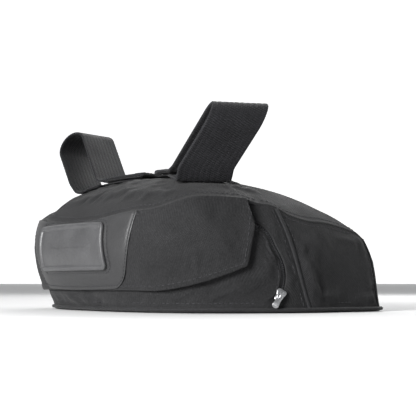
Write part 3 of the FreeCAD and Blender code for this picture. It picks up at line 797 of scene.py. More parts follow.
def upper_wall():
    """Strip between the zip and the top, round the nose."""
    def place(a, b, d):
        q, v = beside_zip(1.99 * a - 0.995, ZIP_SLOT)
        return wall(q, between(v, 1.0, b), d)
    cloth_panel("upper_wall_cloth", "upper_wall", place, (300.0, 15.0))


def corner_panel(name, side):
    """Narrow panel between the zip's corner run and the corner seam."""
    start_q, start_v = beside_zip(1.0, ZIP_SLOT)

    def place(a, b, d):
        near = np.where(b >= start_v, start_q, zip_side(b, 1.0))
        return wall(side * between(near, CORNER_Q, a), b, d)
    cloth_panel("corner_cloth_" + name, "corner_panel_" + name, place, (22.0, 72.0), pitch=1.4,
                growth=0.02, cap=0.9, seed=5, pinned=2.5,
                folds=[(side * 1.44, 0.10, side * 1.48, 0.97, 3.6, 1.3)])


def side_panel(name, side):
    """Side between the corner seam and the rear seam, with the folds that gather at its front."""
    def place(a, b, d):
        return wall(side * between(CORNER_Q + 0.01, REAR_Q - 0.005, a), b, d)
    cloth_panel("side_cloth_" + name, "side_panel_" + name, place, (80.0, 68.0), growth=0.045,
                cap=2.6, seed=11, folds=[(side * 1.86, 0.04, side * 1.93, 0.66, 3.4, 2.2),
                                         (side * 1.99, 0.04, side * 2.04, 0.52, 3.0, 1.8),
                                         (side * 2.13, 0.04, side * 2.20, 0.38, 3.0, 1.5),
                                         (side * 2.95, 0.05, side * 2.80, 0.45, 4.0, 1.0)])


def back_wall():
    """Back between the two rear seams."""
    def place(a, b, d):
        return wall(between(REAR_Q + 0.005, 10.0 - REAR_Q - 0.005, a), b, d)
    cloth_panel("back_cloth", "back_wall", place, (245.0, 64.0), growth=0.04, cap=2.2, seed=17)


WELT_HALF = 1.4
WELT_HEIGHT = 1.0
ZIP_STITCH = ZIP_SLOT + 2.4
TOP_STITCH_V = 0.935
BASE_STITCH_Z = 6.0
# Runs of stitching on the sides and the back, between the raised seams: from q, to q, places.
SEWN_RUNS = ((1.85, 3.2, 120), (3.42, 6.58, 240), (6.8, 8.15, 120))


def welt(name, q, v):
    """Raised seam where two panels meet."""
    q, v = together(q, v)
    place, _, _, out = skin_frame(q, v)
    along = unit(np.gradient(place, axis=0))
    turn = np.linspace(0.0, math.pi, 9)
    arch = np.stack([np.cos(turn) * WELT_HALF, np.sin(turn) * WELT_HEIGHT], axis=-1)
    profile = np.concatenate([arch, [[-WELT_HALF, -0.5], [WELT_HALF, -0.5]]])
    return swept(name, place, unit(np.cross(out, along)), out, profile, "piping", "shell")


def seams():
    """Raised seams at the corners, and every row of stitches on the walls."""
    seam_v, stitch_v = np.linspace(0.035, 0.975, 90), np.linspace(0.05, 0.95, 90)
    rows = []
    for name, side in SIDES:
        welt("corner_seam_" + name, side * (CORNER_Q + 0.005), seam_v)
        welt("rear_seam_" + name, side * REAR_Q, seam_v)
        for q, away in ((CORNER_Q, -0.11), (CORNER_Q, 0.11), (REAR_Q, -0.12), (REAR_Q, 0.12)):
            rows.append(wall_row(side * (q + away), stitch_v))
        rows.append(wall_row(*beside_zip(side * np.linspace(1.02, 2.94, 160), ZIP_STITCH)))
    rows.append(wall_row(*beside_zip(np.linspace(-2.94, 2.94, 500), -ZIP_STITCH)))
    rows.append(wall_row(np.concatenate([np.linspace(*run) for run in SEWN_RUNS]), TOP_STITCH_V))
    for low, high in (*(run[:2] for run in SEWN_RUNS), (-1.0, 1.0)):
        q = np.linspace(low, high, 200)
        rows.append(wall_row(q, BASE_STITCH_Z / crease_z(np.abs(wrapped(q)))))
    threads("wall_stitching", rows, "shell")


# ---- top ----

# The top's rolled lip at each q: how far it stands out from the crease and how far it drops.
LIP_AT = (0.0, 0.36, 0.5, 0.95, 1.12, 1.4, 5.0)
LIP_OUT = (6.6, 6.4, 5.4, 5.2, 3.2, 1.3, 1.3)
LIP_DROP = (4.6, 4.6, 4.2, 4.0, 2.6, 1.8, 1.8)
LIP_TURN = np.linspace(0.0, math.pi / 2.0, 9)[1:, None]
LIP_STITCH_ANGLE = math.radians(62.0)
TOP_REACH = (100.0, 74.0)
TOP_Y = 2.0
TOP_COLUMNS = 420
# The cloth under a strap doesn't move: half width of that bed, and where it starts and ends.
HELD_ACROSS = 24.0
HELD_FROM_X = 2.0
HELD_TO_X = 84.0
TOP_STITCH_INSET = 3.2


def lip_size(q):
    """How far the lip stands out at q, and how far it drops."""
    return smooth_table(LIP_AT, LIP_OUT, np.abs(q)), smooth_table(LIP_AT, LIP_DROP, np.abs(q))


def top_plan(a, b):
    """(x, y) on the rectangle of cloth that the top's slack is worked out on."""
    return TOP_REACH[0] * (2.0 * a - 1.0), TOP_Y + TOP_REACH[1] * (2.0 * b - 1.0)


def top_slack():
    """Slack of the top cloth over (x, y), held at its edge and under the straps."""
    def place(a, b, d):
        x, y = top_plan(a, b)
        return np.stack([x, y, dome_z(x, y) + d], axis=-1)

    def held(a, b):
        x, y = top_plan(a, b)
        away = np.abs(x) - STRAP_FOOT_X
        across = ((y - STRAP_Y) + away * math.tan(STRAP_TOE)) * math.cos(STRAP_TOE)
        strap = ease((HELD_ACROSS - np.abs(across)) / 5.0) * ease((np.abs(x) - HELD_FROM_X) / 5.0)
        strap = strap * ease((HELD_TO_X - np.abs(x)) / 6.0)
        return np.maximum(ease((top_share(x, y) - 0.86) / 0.1), strap)
    size = (2.0 * TOP_REACH[0], 2.0 * TOP_REACH[1])
    offset = slack(place, size, growth=0.03, cap=2.0, seed=23, held=held, pitch=4.2)

    def over(x, y):
        a = (x / TOP_REACH[0] + 1.0) / 2.0
        b = ((y - TOP_Y) / TOP_REACH[1] + 1.0) / 2.0
        inside = ease((1.0 - top_share(x, y)) / 0.08)
        return offset(a, b) * inside[..., None]
    return over


def top_panel():
    """Domed top with a rolled lip that hangs over the flap's upper edge."""
    run = run_along(np.concatenate([RING, RING[:1]]))
    q = np.interp(np.linspace(0.0, run[-1], TOP_COLUMNS, endpoint=False), run, RING_Q)
    crease, out = skin(q, 1.0), flat_normal(q, 1.0)
    reach, drop = lip_size(q)
    share = np.linspace(0.03, 1.0, 58) ** 0.85
    flat = share[:, None, None] * crease[None]
    flat[..., 2] = dome_z(flat[..., 0], flat[..., 1])
    flat[-1, :, 2] = crease[:, 2]
    slackened = flat + top_slack()(flat[..., 0], flat[..., 1])

    def lip(reach, start):
        away = reach * np.sin(LIP_TURN)
        down = start * np.cos(LIP_TURN) + drop * (1.0 - np.cos(LIP_TURN))
        return crease[None] + out[None] * away[..., None] - UP * down[..., None]
    under = slackened - UP * FABRIC
    inner_lip = lip(np.maximum(reach - FABRIC, 0.1), FABRIC)
    points = np.concatenate([slackened, lip(reach, 0.0), inner_lip[::-1], under[::-1]])
    plan = points[..., :2].reshape(-1, 2) + np.array([0.0, 1.0]) * points[..., 2:].reshape(-1, 1)
    obj = made("top_cloth", points, ring_faces(*points.shape[:2]), "cloth", plan, "shell")
    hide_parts("top_panel")


def top_stitching():
    """Stitches just inside the crease and along the rolled lip over the flap."""
    rows = []
    for low, high in ((-1.35, 1.35), (1.45, 5.0), (-5.0, -1.45)):
        around = np.linspace(low, high, 420)
        ring = skin(around, 1.0)
        near = ring * (1.0 - TOP_STITCH_INSET / np.hypot(ring[:, 0], ring[:, 1]))[:, None]
        near[:, 2] = dome_z(near[:, 0], near[:, 1]) + 0.15
        rows.append((near, unit(flat_normal(around, 1.0) + 1.2 * UP)))
    around = np.linspace(-1.02, 1.02, 300)
    out = flat_normal(around, 1.0)
    reach, drop = lip_size(around)
    facing = unit(out + 0.45 * UP)
    spots = (skin(around, 1.0) + out * (reach * math.sin(LIP_STITCH_ANGLE))[:, None]
             - UP * (drop * (1.0 - math.cos(LIP_STITCH_ANGLE)))[:, None])
    rows.append((spots + facing * 0.12, facing))
    threads("top_stitching", rows, "shell")


# ---- storm flap ----

FLAP_RISE_Q = 0.4
FLAP_RISE_POWER = 1.7
FLAP_SLANT_Q = (0.92, 1.05)
FLAP_SLANT_V = 0.38
FLAP_CORNER_B = 0.06
FLAP_CORNER_Q = 0.012
FLAP_FLARE = 1.9


def flap_low_v(q):
    """v of the flap's lower edge, which rises towards its ends."""
    share = np.clip(np.abs(q) - FLAP_RISE_Q, 0.0, None) / 0.52
    return v_at(q, between(FLAP_LOW_Z, FLAP_END_Z, share ** FLAP_RISE_POWER))


def flap_place(a, b, d):
    """The whole flap in one piece: nose and both wings. b runs up from its lower edge.

    Its end edges slant, its lower corners are rounded, and its wings flare out at the bottom.
    """
    a, b = np.asarray(a, float) * 2.0 - 1.0, np.asarray(b, float)
    q = np.abs(a) * FLAP_HALF_Q
    v = between(flap_low_v(q), FLAP_TOP_V, b)
    wing = np.clip((q - 0.36) / 0.56, 0.0, 1.0)
    slant = between(*FLAP_SLANT_Q, np.clip((v - FLAP_SLANT_V) / 0.5, 0.0, 1.0)) - FLAP_HALF_Q
    corner = np.clip(1.0 - b / FLAP_CORNER_B, 0.0, 1.0)
    rounding = FLAP_CORNER_Q * (1.0 - np.sqrt(1.0 - corner ** 2))
    flare = FLAP_FLARE * (1.0 - b) ** 2 * ease((q - 0.25) / 0.25)
    q = q + slant * wing ** 3 - rounding * wing ** 6
    return wall(np.where(a < 0.0, -q, q), v, d + flare)


def bend(obj):
    """The piece with its world place baked into its mesh."""
    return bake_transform(obj)


def storm_flap():
    """The flap and its stitching, which holds it down at both ends."""
    size = (290.0, 44.0)
    surface = draped(flap_place, size, growth=0.018, cap=1.2, seed=29, stiff=2.0, folds=[
        (0.44, 0.86, 0.66, 0.55, 6.0, 0.9), (0.70, 0.90, 0.86, 0.50, 6.0, 1.1),
        (-0.44, 0.86, -0.66, 0.55, 6.0, 0.9), (-0.70, 0.90, -0.86, 0.50, 6.0, 1.1),
        (0.50, 0.35, 0.62, 0.28, 5.0, -0.7), (-0.50, 0.35, -0.62, 0.28, 5.0, -0.7)],
        held=lambda a, b: ease((0.2 - np.abs(a - 0.5)) / 0.04))
    flap = panel("storm_flap", surface, size, "cloth", face=FLAP_FACE, thick=FLAP, edge=1.3,
                 pitch=1.7, hem=4.2)
    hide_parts("flap_panel", "flap_stiffener", "flap_wing_right", "flap_wing_left")
    bend(flap)
    face = FLAP_FACE + 0.35
    inset_a, inset_b = 3.0 / size[0], 3.0 / size[1]
    span = np.linspace(inset_a, 1.0 - inset_a, 500)
    rise = np.linspace(inset_b, 0.93, 60)
    bend(threads("flap_stitching", [row(surface, span, inset_b, face)]))
    threads("flap_end_stitching", [row(surface, inset_a, rise, face),
                                   row(surface, 1.0 - inset_a, rise, face)], "shell")


NOSE_Q = np.linspace(-0.5, 0.5, 401)
NOSE_X = skin(NOSE_Q, 0.7)[:, 0]


def nose_place(x, z, d):
    """A place over the nose, x across and z up, at d out from the wall."""
    q = np.interp(x, NOSE_X, NOSE_Q)
    return wall(q, v_at(q, z), d)


def badge_distance(x, z):
    """Distance outside the badge's rounded outline, negative inside it."""
    dx = np.abs(x) - (BADGE_HALF_X - BADGE_ROUND)
    dz = np.abs(z - BADGE_MIDDLE_Z) - (BADGE_HALF_Z - BADGE_ROUND)
    outside = np.hypot(np.maximum(dx, 0.0), np.maximum(dz, 0.0))
    return outside + np.minimum(np.maximum(dx, dz), 0.0) - BADGE_ROUND


def badge_ring(inset):
    """Places (x, z) round the badge's outline, at an inset from it."""
    radius = max(BADGE_ROUND - inset, 0.15)
    x, z = BADGE_HALF_X - inset - radius, BADGE_HALF_Z - inset - radius
    places = []
    for i, (sx, sz, run) in enumerate(((1, 1, 26), (-1, 1, 10), (-1, -1, 26), (1, -1, 10))):
        turn = np.radians(np.linspace(90.0 * i, 90.0 * (i + 1), 9))
        arc = np.stack([sx * x + radius * np.cos(turn), sz * z + radius * np.sin(turn)], axis=-1)
        to = np.array([(-sx if i % 2 == 0 else sx) * x, (sz if i % 2 == 0 else -sz) * z])
        to = to + radius * np.array([math.cos(turn[-1]), math.sin(turn[-1])])
        t = np.linspace(0.0, 1.0, run, endpoint=False)[1:, None]
        places += [arc, arc[-1] + (to - arc[-1]) * t]
    return np.concatenate(places) + np.array([0.0, BADGE_MIDDLE_Z])


PATCH_TALL = 42.0
PATCH_WIDE = 128.0
PATCH_GROOVE = 2.3
PATCH_STITCH = 2.2
Q_PER_MM = 0.0042
PATCH_LOW_V = float(flap_low_v(np.array(0.0))) + 0.01
PATCH_HIGH_V = 0.96
PATCH_HALF_Q = (0.245, 0.385)
PATCH_CORNER_B = 0.24
PATCH_CORNER_Q = 0.045


def patch_half(b, inset=0.0):
    """Half width of the patch, in q, at b up from its lower edge. inset is in millimetres."""
    inset_b = inset / PATCH_TALL
    corner = np.clip(1.0 - (b - inset_b) / (PATCH_CORNER_B - inset_b), 0.0, 1.0)
    half = between(*PATCH_HALF_Q, np.clip(b, 0.0, 1.0) ** 0.8)
    inset_q = Q_PER_MM * inset
    return half - inset_q - (PATCH_CORNER_Q - inset_q) * (1.0 - np.sqrt(1.0 - corner ** 2))


def nose_patch():
    """Leather patch, pressed in along its own edge and in a groove round the badge."""
    def place(a, b, d):
        q = (2.0 * a - 1.0) * patch_half(b)
        v = between(PATCH_LOW_V, PATCH_HIGH_V, b)
        x, z = np.interp(q, NOSE_Q, NOSE_X), v * crease_z(np.abs(q))
        groove = 0.4 * np.exp(-((badge_distance(x, z) - PATCH_GROOVE) / 0.7) ** 2)
        edge = np.minimum(b * PATCH_TALL, (1.0 - np.abs(2.0 * a - 1.0)) * 60.0)
        seam = 0.3 * np.exp(-((edge - PATCH_STITCH) / 0.8) ** 2)
        return wall(q, v, d - groove - seam)
    patch = panel("nose_patch_leather", place, (PATCH_WIDE, PATCH_TALL), "leather",
                  face=PATCH_FACE, thick=PATCH, edge=0.9, pitch=0.9)
    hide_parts("nose_patch")
    bend(patch)


def patch_stitching():
    """Stitches along the patch's edge, and round the badge in its groove."""
    low = PATCH_STITCH / PATCH_TALL
    up = np.concatenate([low + (0.95 - low) * (1.0 - np.cos(np.linspace(0, 1.5, 80))), [0.95]])
    half = patch_half(up, PATCH_STITCH)
    bottom = np.linspace(-half[0], half[0], 60)
    q = np.concatenate([-half[::-1], bottom, half])
    b = np.concatenate([up[::-1], np.full(60, low), up])
    edge = wall_row(q, between(PATCH_LOW_V, PATCH_HIGH_V, b), PATCH_FACE - 0.15)
    ring = badge_ring(-PATCH_GROOVE)
    loop = np.concatenate([ring, ring[:1]]).T
    spots = nose_place(*loop, PATCH_FACE - 0.3)
    normals = nose_place(*loop, PATCH_FACE + 0.7) - spots
    bend(threads("patch_stitching", [edge, (spots, normals)], length=2.1, gap=0.7, radius=0.25))


# The badge's section from its foot over the rim to the middle: (inset, height) in turn.
BADGE_STEPS = ((0.0, -0.1), (0.0, 1.3), (0.15, 1.8), (0.5, 2.2), (1.0, 2.38), (1.6, 2.4),
               (2.2, 2.38), (2.7, 2.1), (2.95, 1.5), (3.3, 1.25), (4.2, 1.2), (6.0, 1.2),
               (8.5, 1.2), (11.0, 1.2), (13.4, 1.2))


def badge():
    """Blank moulded rubber badge: a raised rim round a lower, flat field."""
    points = np.stack([nose_place(*badge_ring(inset).T, PATCH_FACE + 0.1 + height)
                       for inset, height in BADGE_STEPS])
    obj = made("badge_blank", points, ring_faces(*points.shape[:2]), "badge")
    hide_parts("badge")
    bend(obj)


def flap_seam():
    """Folded seam that holds the flap under the top's lip."""
    def place(a, b, d):
        return wall(between(-0.98, 0.98, a), between(FLAP_TOP_V - 0.03, 0.995, b), d)
    obj = panel("flap_seam_fold", place, (285.0, 4.0), "piping", "shell", face=0.75, thick=0.6,
                edge=0.3)
    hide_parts("flap_seam")


def bar_tack(name, side):
    """Dense stitches that hold the forward top corner of the flap."""
    q = side * np.linspace(1.072, 1.098, 4)
    rows = [wall_row(q, 0.74 + 0.0052 * i, 0.7) for i in range(-4, 5)]
    obj = threads("flap_bar_tack_thread_" + name, rows, "shell", length=6.0, gap=0.1, radius=0.26)
    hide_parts("flap_bar_tack_" + name)


# ---- zip ----

TOOTH_PITCH = 1.4


def zip_coils():
    """Two rows of coil teeth that mesh along the zip's line."""
    t = np.linspace(-2.965, 2.965, 1400)
    run = run_along(skin(*zip_path(t)))
    half = TOOTH_PITCH / 2.0
    for name, side, start in (("upper", 1.0, half), ("lower", -1.0, TOOTH_PITCH)):
        at = np.arange(start, run[-1] - half, TOOTH_PITCH)
        place = np.interp(at, run, t)
        q, v, along, across, out = zip_frame(place)
        centre = skin(q, v) - out * 0.75
        rows = [(np.stack([c - x * side * 0.15, c + x * side * 1.25 + a * 0.25]),
                 np.stack([o, o])) for c, x, o, a in zip(centre, across, out, along)]
        obj = threads("zip_teeth_" + name, rows, "shell", "zip_coil", length=3.0, gap=0.05,
                      radius=0.42)
        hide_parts("zip_coil_" + name)


def slider_axes():
    """Where the slider sits, its direction up the zip, across it and out from the wall."""
    joint = next(j for j in frame["joints"] if j["name"] == "zip_travel")
    q, v = (np.array([x]) for x in zip_path(SLIDER_AT))
    place = wall(q, v, SLIDER_OFF)[0]
    axis = unit(np.array(joint["axis"], float))
    along = unit(np.cross(axis, unit(place - np.array(joint["pos_m"]) / MM)))
    out = skin_frame(q, v)[3][0]
    out = unit(out - along * (out @ along))
    return place, along, np.cross(out, along), out


def mirrored(x, half):
    """Closed outline through (x, half) and back through (x, -half)."""
    return np.concatenate([np.column_stack([x, half]), np.column_stack([x[::-1], -half[::-1]])])


def plate(edge, z0, z1, bevel):
    """Rings of a flat plate with bevelled edges round an outline."""
    middle = edge.mean(axis=0)
    reach = np.linalg.norm(edge - middle, axis=-1, keepdims=True)
    rings = []
    for inset, z in ((bevel, z0), (0.3 * bevel, z0 + 0.3 * bevel), (0.0, z0 + bevel),
                     (0.0, z1 - bevel), (0.3 * bevel, z1 - 0.3 * bevel), (bevel, z1)):
        ring = middle + (edge - middle) * (1.0 - inset / reach)
        rings.append(np.column_stack([ring, np.full(len(ring), z)]))
    return np.stack(rings)


def joined(name, parts, axes, body):
    """One metal piece from (rings, whether they close into a loop) parts, in the given axes."""
    origin, along, across, out = axes
    points, faces, base = [], [], 0
    for rings, closed in parts:
        n, m = rings.shape[:2]
        faces += ring_faces(n, m, base, closed)
        flat = rings.reshape(-1, 3)
        points.append(origin + flat[:, :1] * along + flat[:, 1:2] * across + flat[:, 2:] * out)
        base += n * m
    return made(name, np.concatenate(points), faces, "zip_metal", body=body)


def tube(spots, radius_y, radius_z):
    """Rings of an oval bar along a path in the (x, z) plane."""
    along = unit(np.gradient(spots, axis=0))
    turn = circle(10)
    normal = np.column_stack([-along[:, 1], along[:, 0]])
    x = spots[:, None, 0] + normal[:, None, 0] * np.sin(turn) * radius_z
    z = spots[:, None, 1] + normal[:, None, 1] * np.sin(turn) * radius_z
    return np.stack([x, np.broadcast_to(np.cos(turn) * radius_y, x.shape), z], axis=-1)


def zip_slider():
    """Two plates that taper to the slider's tail, with a crown for the pull over them."""
    x = np.linspace(-4.0, 4.0, 17)
    half = 2.35 + 0.85 * ease((x + 1.0) / 3.5)
    half *= np.sqrt(np.clip(1.0 - (np.abs(x) / 4.25) ** 6, 0.0, 1.0)) ** 0.5
    edge = mirrored(x, half)
    arch = np.linspace(math.pi, 0.0, 13)
    crown = np.column_stack([2.4 * np.cos(arch), 0.5 + 2.1 * np.sin(arch) ** 0.7])
    parts = [plate(edge, -0.9, -0.35, 0.2), plate(edge, 0.0, 0.6, 0.25), tube(crown, 0.8, 0.33)]
    obj = joined("zip_slider_body", [(part, False) for part in parts], slider_axes(), "slider")
    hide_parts("zip_slider")


WIRE_R = 0.42


def pull_wire():
    """Rings of the small oval wire loop that joins the tab to the slider."""
    turn, section = circle(36), circle(8)
    ring = np.stack([-1.9 + 2.3 * np.cos(turn), 1.75 * np.sin(turn)], axis=-1)
    around = unit(np.gradient(np.concatenate([ring[-1:], ring, ring[:1]]), axis=0)[1:-1])
    normal = np.column_stack([around[:, 1], -around[:, 0]])
    flat = ring[:, None] + normal[:, None] * WIRE_R * np.cos(section)[:, None]
    height = np.broadcast_to(WIRE_R * np.sin(section), flat.shape[:2])
    return np.concatenate([flat, height[..., None]], axis=-1)


def zip_pull():
    """Flat tab on a small wire loop, hanging from the slider's crown."""
    place, along, across, out = slider_axes()
    pin = place + along * 0.9 + out * 1.7
    x = np.linspace(-PULL - 0.5, -3.6, 15)
    half = between(2.3, 1.7, ease((x + PULL) / 5.0))
    end = np.clip((x + PULL + 0.5) / 1.9, 0.0, 1.0)
    half = half * np.sqrt(1.0 - (1.0 - end) ** 2 * 0.96)
    grip = mirrored(x[3:-5], 0.86 * half[3:-5])
    parts = [(plate(mirrored(x, half), -0.5, 0.5, 0.22), False),
             (plate(grip, 0.42, 0.66, 0.12), False), (plate(grip, -0.66, -0.42, 0.12), False),
             (pull_wire(), True)]
    obj = joined("zip_pull_tab", parts, (pin, along, across, out), "pull")
    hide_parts("zip_pull")


# ---- straps ----

SEWN_HALF = 16.0
TAIL_HEM = 9.0
BRISTLE_PITCH = 1.5
BRISTLE_TALL = 0.5
BRISTLE_HALF_Y = 16.5
# (x, z) in the strap's plane between which the free end bends.
PEEL_FROM = (53.5, 94.0)
PEEL_TO = (49.55, 95.18)
ROOT_HEIGHT = WEBBING / 2.0 + STRAP_LIFT
TAIL_HEIGHT = 2.0 * HOOK + 0.3 + WEBBING / 2.0 + STRAP_LIFT


def strap_plan(x, y):
    """Plan place at x outwards along the right strap and y across it."""
    away = x - STRAP_FOOT_X
    return (STRAP_FOOT_X + away * math.cos(STRAP_TOE) + y * math.sin(STRAP_TOE),
            STRAP_Y - away * math.sin(STRAP_TOE) + y * math.cos(STRAP_TOE))


def bed(x, height):
    """(x, z) of a place above the top panel in the strap's own plane."""
    x = np.asarray(x, float)
    return np.stack([x, dome_z(*strap_plan(x, 0.0)) + height], axis=-1)


LEAN_FROM = float(bed(STRAP_TAIL_X, TAIL_HEIGHT)[1])


def strap_world(x, y, z, side):
    """World place of (x, y, z) in the strap's axes. Standing webbing slants forwards."""
    x, y, z = together(x, y, z)
    y = y + STRAP_LEAN * np.maximum(z - LEAN_FROM, 0.0) * ease((x - STRAP_TAIL_X) / 3.0)
    plan_x, plan_y = strap_plan(x, y)
    return np.stack([side * plan_x, plan_y, z], axis=-1)


def rail_turn(start, side):
    """Angle round the rail at which webbing from start first touches its loop."""
    away = math.hypot(RAIL_X - start[0], RAIL_Z - start[1])
    turn = math.atan2(RAIL_Z - start[1], RAIL_X - start[0]) + side * math.asin(LOOP_R / away)
    return turn + side * math.pi / 2.0


def strap_path():
    """(x, z) along the middle of the webbing, from the sewn root to the free end."""
    foot, root = bed(STRAP_FOOT_X, ROOT_HEIGHT), bed(STRAP_FOOT_X - 4.0, ROOT_HEIGHT)
    down = bed(STRAP_TAIL_X, TAIL_HEIGHT)
    turns = np.linspace(rail_turn(foot, -1.0), rail_turn(down, 1.0), 46)
    loop = np.array([RAIL_X, RAIL_Z]) + LOOP_R * np.column_stack([np.cos(turns), np.sin(turns)])
    rise = foot + unit(loop[0] - foot) * 4.0
    fall = down + unit(loop[-1] - down) * 5.0
    t = np.linspace(0.0, 1.0, 10)
    straight = np.linspace(0.0, 1.0, 20)[:-1, None]
    return np.concatenate([
        bed(np.linspace(STRAP_ROOT_X, STRAP_FOOT_X - 4.0, 10)[:-1], ROOT_HEIGHT),
        bezier([root, foot, rise], t)[:-1], between(rise, loop[0], straight),
        loop[:-1], between(loop[-1], fall, straight),
        bezier([fall, down, bed(STRAP_TAIL_X - 5.0, TAIL_HEIGHT)], t)[:-1],
        bed(np.linspace(STRAP_TAIL_X - 5.0, TAIL_END_X, 28), TAIL_HEIGHT)])


def strap_axes(path, side):
    """Spots along a path in the strap's plane, with the directions across and out."""
    along = unit(np.gradient(path, axis=0))
    spots = strap_world(path[:, 0], 0.0, path[:, 1], side)
    across = np.broadcast_to([side * math.sin(STRAP_TOE), math.cos(STRAP_TOE), 0.0], spots.shape)
    out = np.stack([-along[:, 1] * side * math.cos(STRAP_TOE), along[:, 1] * math.sin(STRAP_TOE),
                    along[:, 0]], axis=-1)
    return spots, across, out


RIBS = 10


def ribbed_profile():
    """Cross-section of the webbing: rows of ribs on both faces and a rounded selvedge."""
    x = np.linspace(-STRAP_WIDTH / 2.0, STRAP_WIDTH / 2.0, RIBS * 6 + 1)
    rib = 0.76 + 0.24 * np.abs(np.sin(math.pi * RIBS * (x / STRAP_WIDTH + 0.5))) ** 0.6
    edge = np.clip((STRAP_WIDTH / 2.0 - np.abs(x)) / 0.7, 0.0, 1.0)
    half = WEBBING / 2.0 * rib * np.sqrt(np.clip(1.0 - (1.0 - edge) ** 2, 0.04, 1.0))
    return mirrored(x, half)


def tape_profile(low, high):
    """Cross-section of a tape that is 2 mm narrower than the webbing."""
    x = np.linspace(-STRAP_WIDTH / 2.0 + 1.0, STRAP_WIDTH / 2.0 - 1.0, 12)
    return np.concatenate([np.column_stack([x, np.full(12, high)]),
                           np.column_stack([x[::-1], np.full(12, low)])])


def strap_row(points, side, height):
    """A stitch line over the webbing through (x, y) places in the strap's own axes."""
    points = np.asarray(points, float)
    t = np.linspace(0.0, 1.0, 24)[:, None]
    spots = np.concatenate([between(a, b, t) for a, b in zip(points, points[1:])])
    lie = bed(spots[:, 0], height)
    world = strap_world(spots[:, 0], spots[:, 1], lie[:, 1], side)
    return world, np.broadcast_to(UP, world.shape)


def bristles(name, spots, out, body, bent):
    """Short stiff hooks, or softer loops, standing on a tape."""
    points, faces = [], []
    side = unit(np.cross(out, [0.3, 1.0, 0.1]))
    fore = np.cross(out, side)
    for i, spot in enumerate(spots):
        lean = RANDOM.uniform(-bent, bent, 3)
        tip = spot + (out + lean) * BRISTLE_TALL
        points += [spot + side * 0.32, spot - side * 0.16 + fore * 0.28,
                   spot - side * 0.16 - fore * 0.28, tip + side * 0.1, tip - side * 0.1]
        k = 5 * i
        faces += [(k, k + 1, k + 4, k + 3), (k + 1, k + 2, k + 4), (k + 2, k, k + 3, k + 4),
                  (k, k + 2, k + 1)]
    return made(name, np.array(points), faces, "hook_loop", body=body)


def tapes(name, side):
    """Hook tape under the free end and loop tape on the top, each with its pile."""
    low, high = TAIL_END_X + 3.0, STRAP_TAIL_X - 6.0
    x = np.linspace(low, high, 24)
    for kind, level, body, lean in (("loop", 0, "shell", 0.9),
                                    ("hook", 1, "strap_end_" + name, 0.25)):
        middle = STRAP_LIFT + 0.1 + level * (HOOK + 0.1) + HOOK / 2.0
        spots, across, out = strap_axes(bed(x, middle), side)
        out = out * np.sign(out[:, 2:])
        bottom, top = (-HOOK / 2.0, 0.1) if kind == "loop" else (-0.1, HOOK / 2.0)
        tape = swept(kind + "_tape_cloth_" + name, spots, across, out,
                     tape_profile(bottom, top), "hook_loop", body)
        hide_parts(kind + "_tape_" + name)
        px, py = (places.ravel() for places in np.meshgrid(
            np.arange(low + 1.0, high - 1.0, BRISTLE_PITCH),
            np.arange(-BRISTLE_HALF_Y, BRISTLE_HALF_Y + 0.5, BRISTLE_PITCH)))
        facing = 1.0 if kind == "loop" else -1.0
        roots = strap_world(px, py, bed(px, middle)[:, 1] + 0.1 * facing, side)
        bristles(kind + "_pile_" + name, roots, UP * facing, body, lean)


def strap(name, side):
    """Webbing from its sewn root over the rail to its free end."""
    path = strap_path()
    spots, across, out = strap_axes(path, side)
    thicker = 1.0 + 0.5 * ease((TAIL_END_X + TAIL_HEM - path[:, 0]) / 1.5)
    web = swept("strap_webbing_" + name, spots, across, out,
                ribbed_profile(), "webbing", scale=thicker)
    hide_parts("strap_" + name, "strap_tail_" + name)
    start, end = (tuple(strap_world(x, 0.0, z, side) * MM) for x, z in (PEEL_FROM, PEEL_TO))
    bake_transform(web)


def strap_stitching(name, side):
    """A crossed box at the strap's root, and a hem and a box along its free end."""
    half = SEWN_HALF
    top = ROOT_HEIGHT + WEBBING / 2.0
    low, high = STRAP_ROOT_X + 4.0, STRAP_FOOT_X - 6.0
    box = [(low, -half), (high, -half), (high, half), (low, half), (low, -half), (high, half)]
    threads("strap_stitching_" + name, [strap_row(box, side, top + 0.05),
                                        strap_row([(low, half), (high, -half)], side, top + 0.15)],
            "shell", length=2.8)
    top = TAIL_HEIGHT + WEBBING / 2.0
    low, high = TAIL_END_X + 10.0, STRAP_TAIL_X - 9.0
    hem = [(low - 3.0, -half), (low - 3.0, half)]
    sewn = [(low, -half), (high, -half), (high, half), (low, half), (low, -half)]
    threads("strap_end_stitching_" + name,
            [strap_row(hem, side, top + 0.4), strap_row(sewn, side, top + 0.02)],
            "strap_end_" + name, length=2.8)


# ---- base ----

BASE_Q = np.linspace(-5.0, 5.0, 420, endpoint=False)
BASE_STITCHES_Z = 0.42
BORDER_SHARE = 0.93
CHANNEL_X = 58.0
CHANNEL_Y = 18.0


def base_ring(d, z):
    """Places round the base's outline, at d out from it and at height z."""
    ring = ruled(BASE_Q, 0.0) + flat_normal(BASE_Q, 0.0) * d
    ring[:, 2] = z
    return ring


def base_piping():
    """Cord sewn round the foot of the walls."""
    spots = base_ring(0.75, 1.8)
    out = flat_normal(BASE_Q, 0.0)
    up = np.broadcast_to(UP, spots.shape)
    turn = circle(12)
    cord = np.column_stack([1.35 * np.cos(turn), 1.2 * np.sin(turn)])
    obj = swept("base_piping_cord", spots, out, up, cord, "piping", "shell", closed=True)
    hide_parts("base_piping")


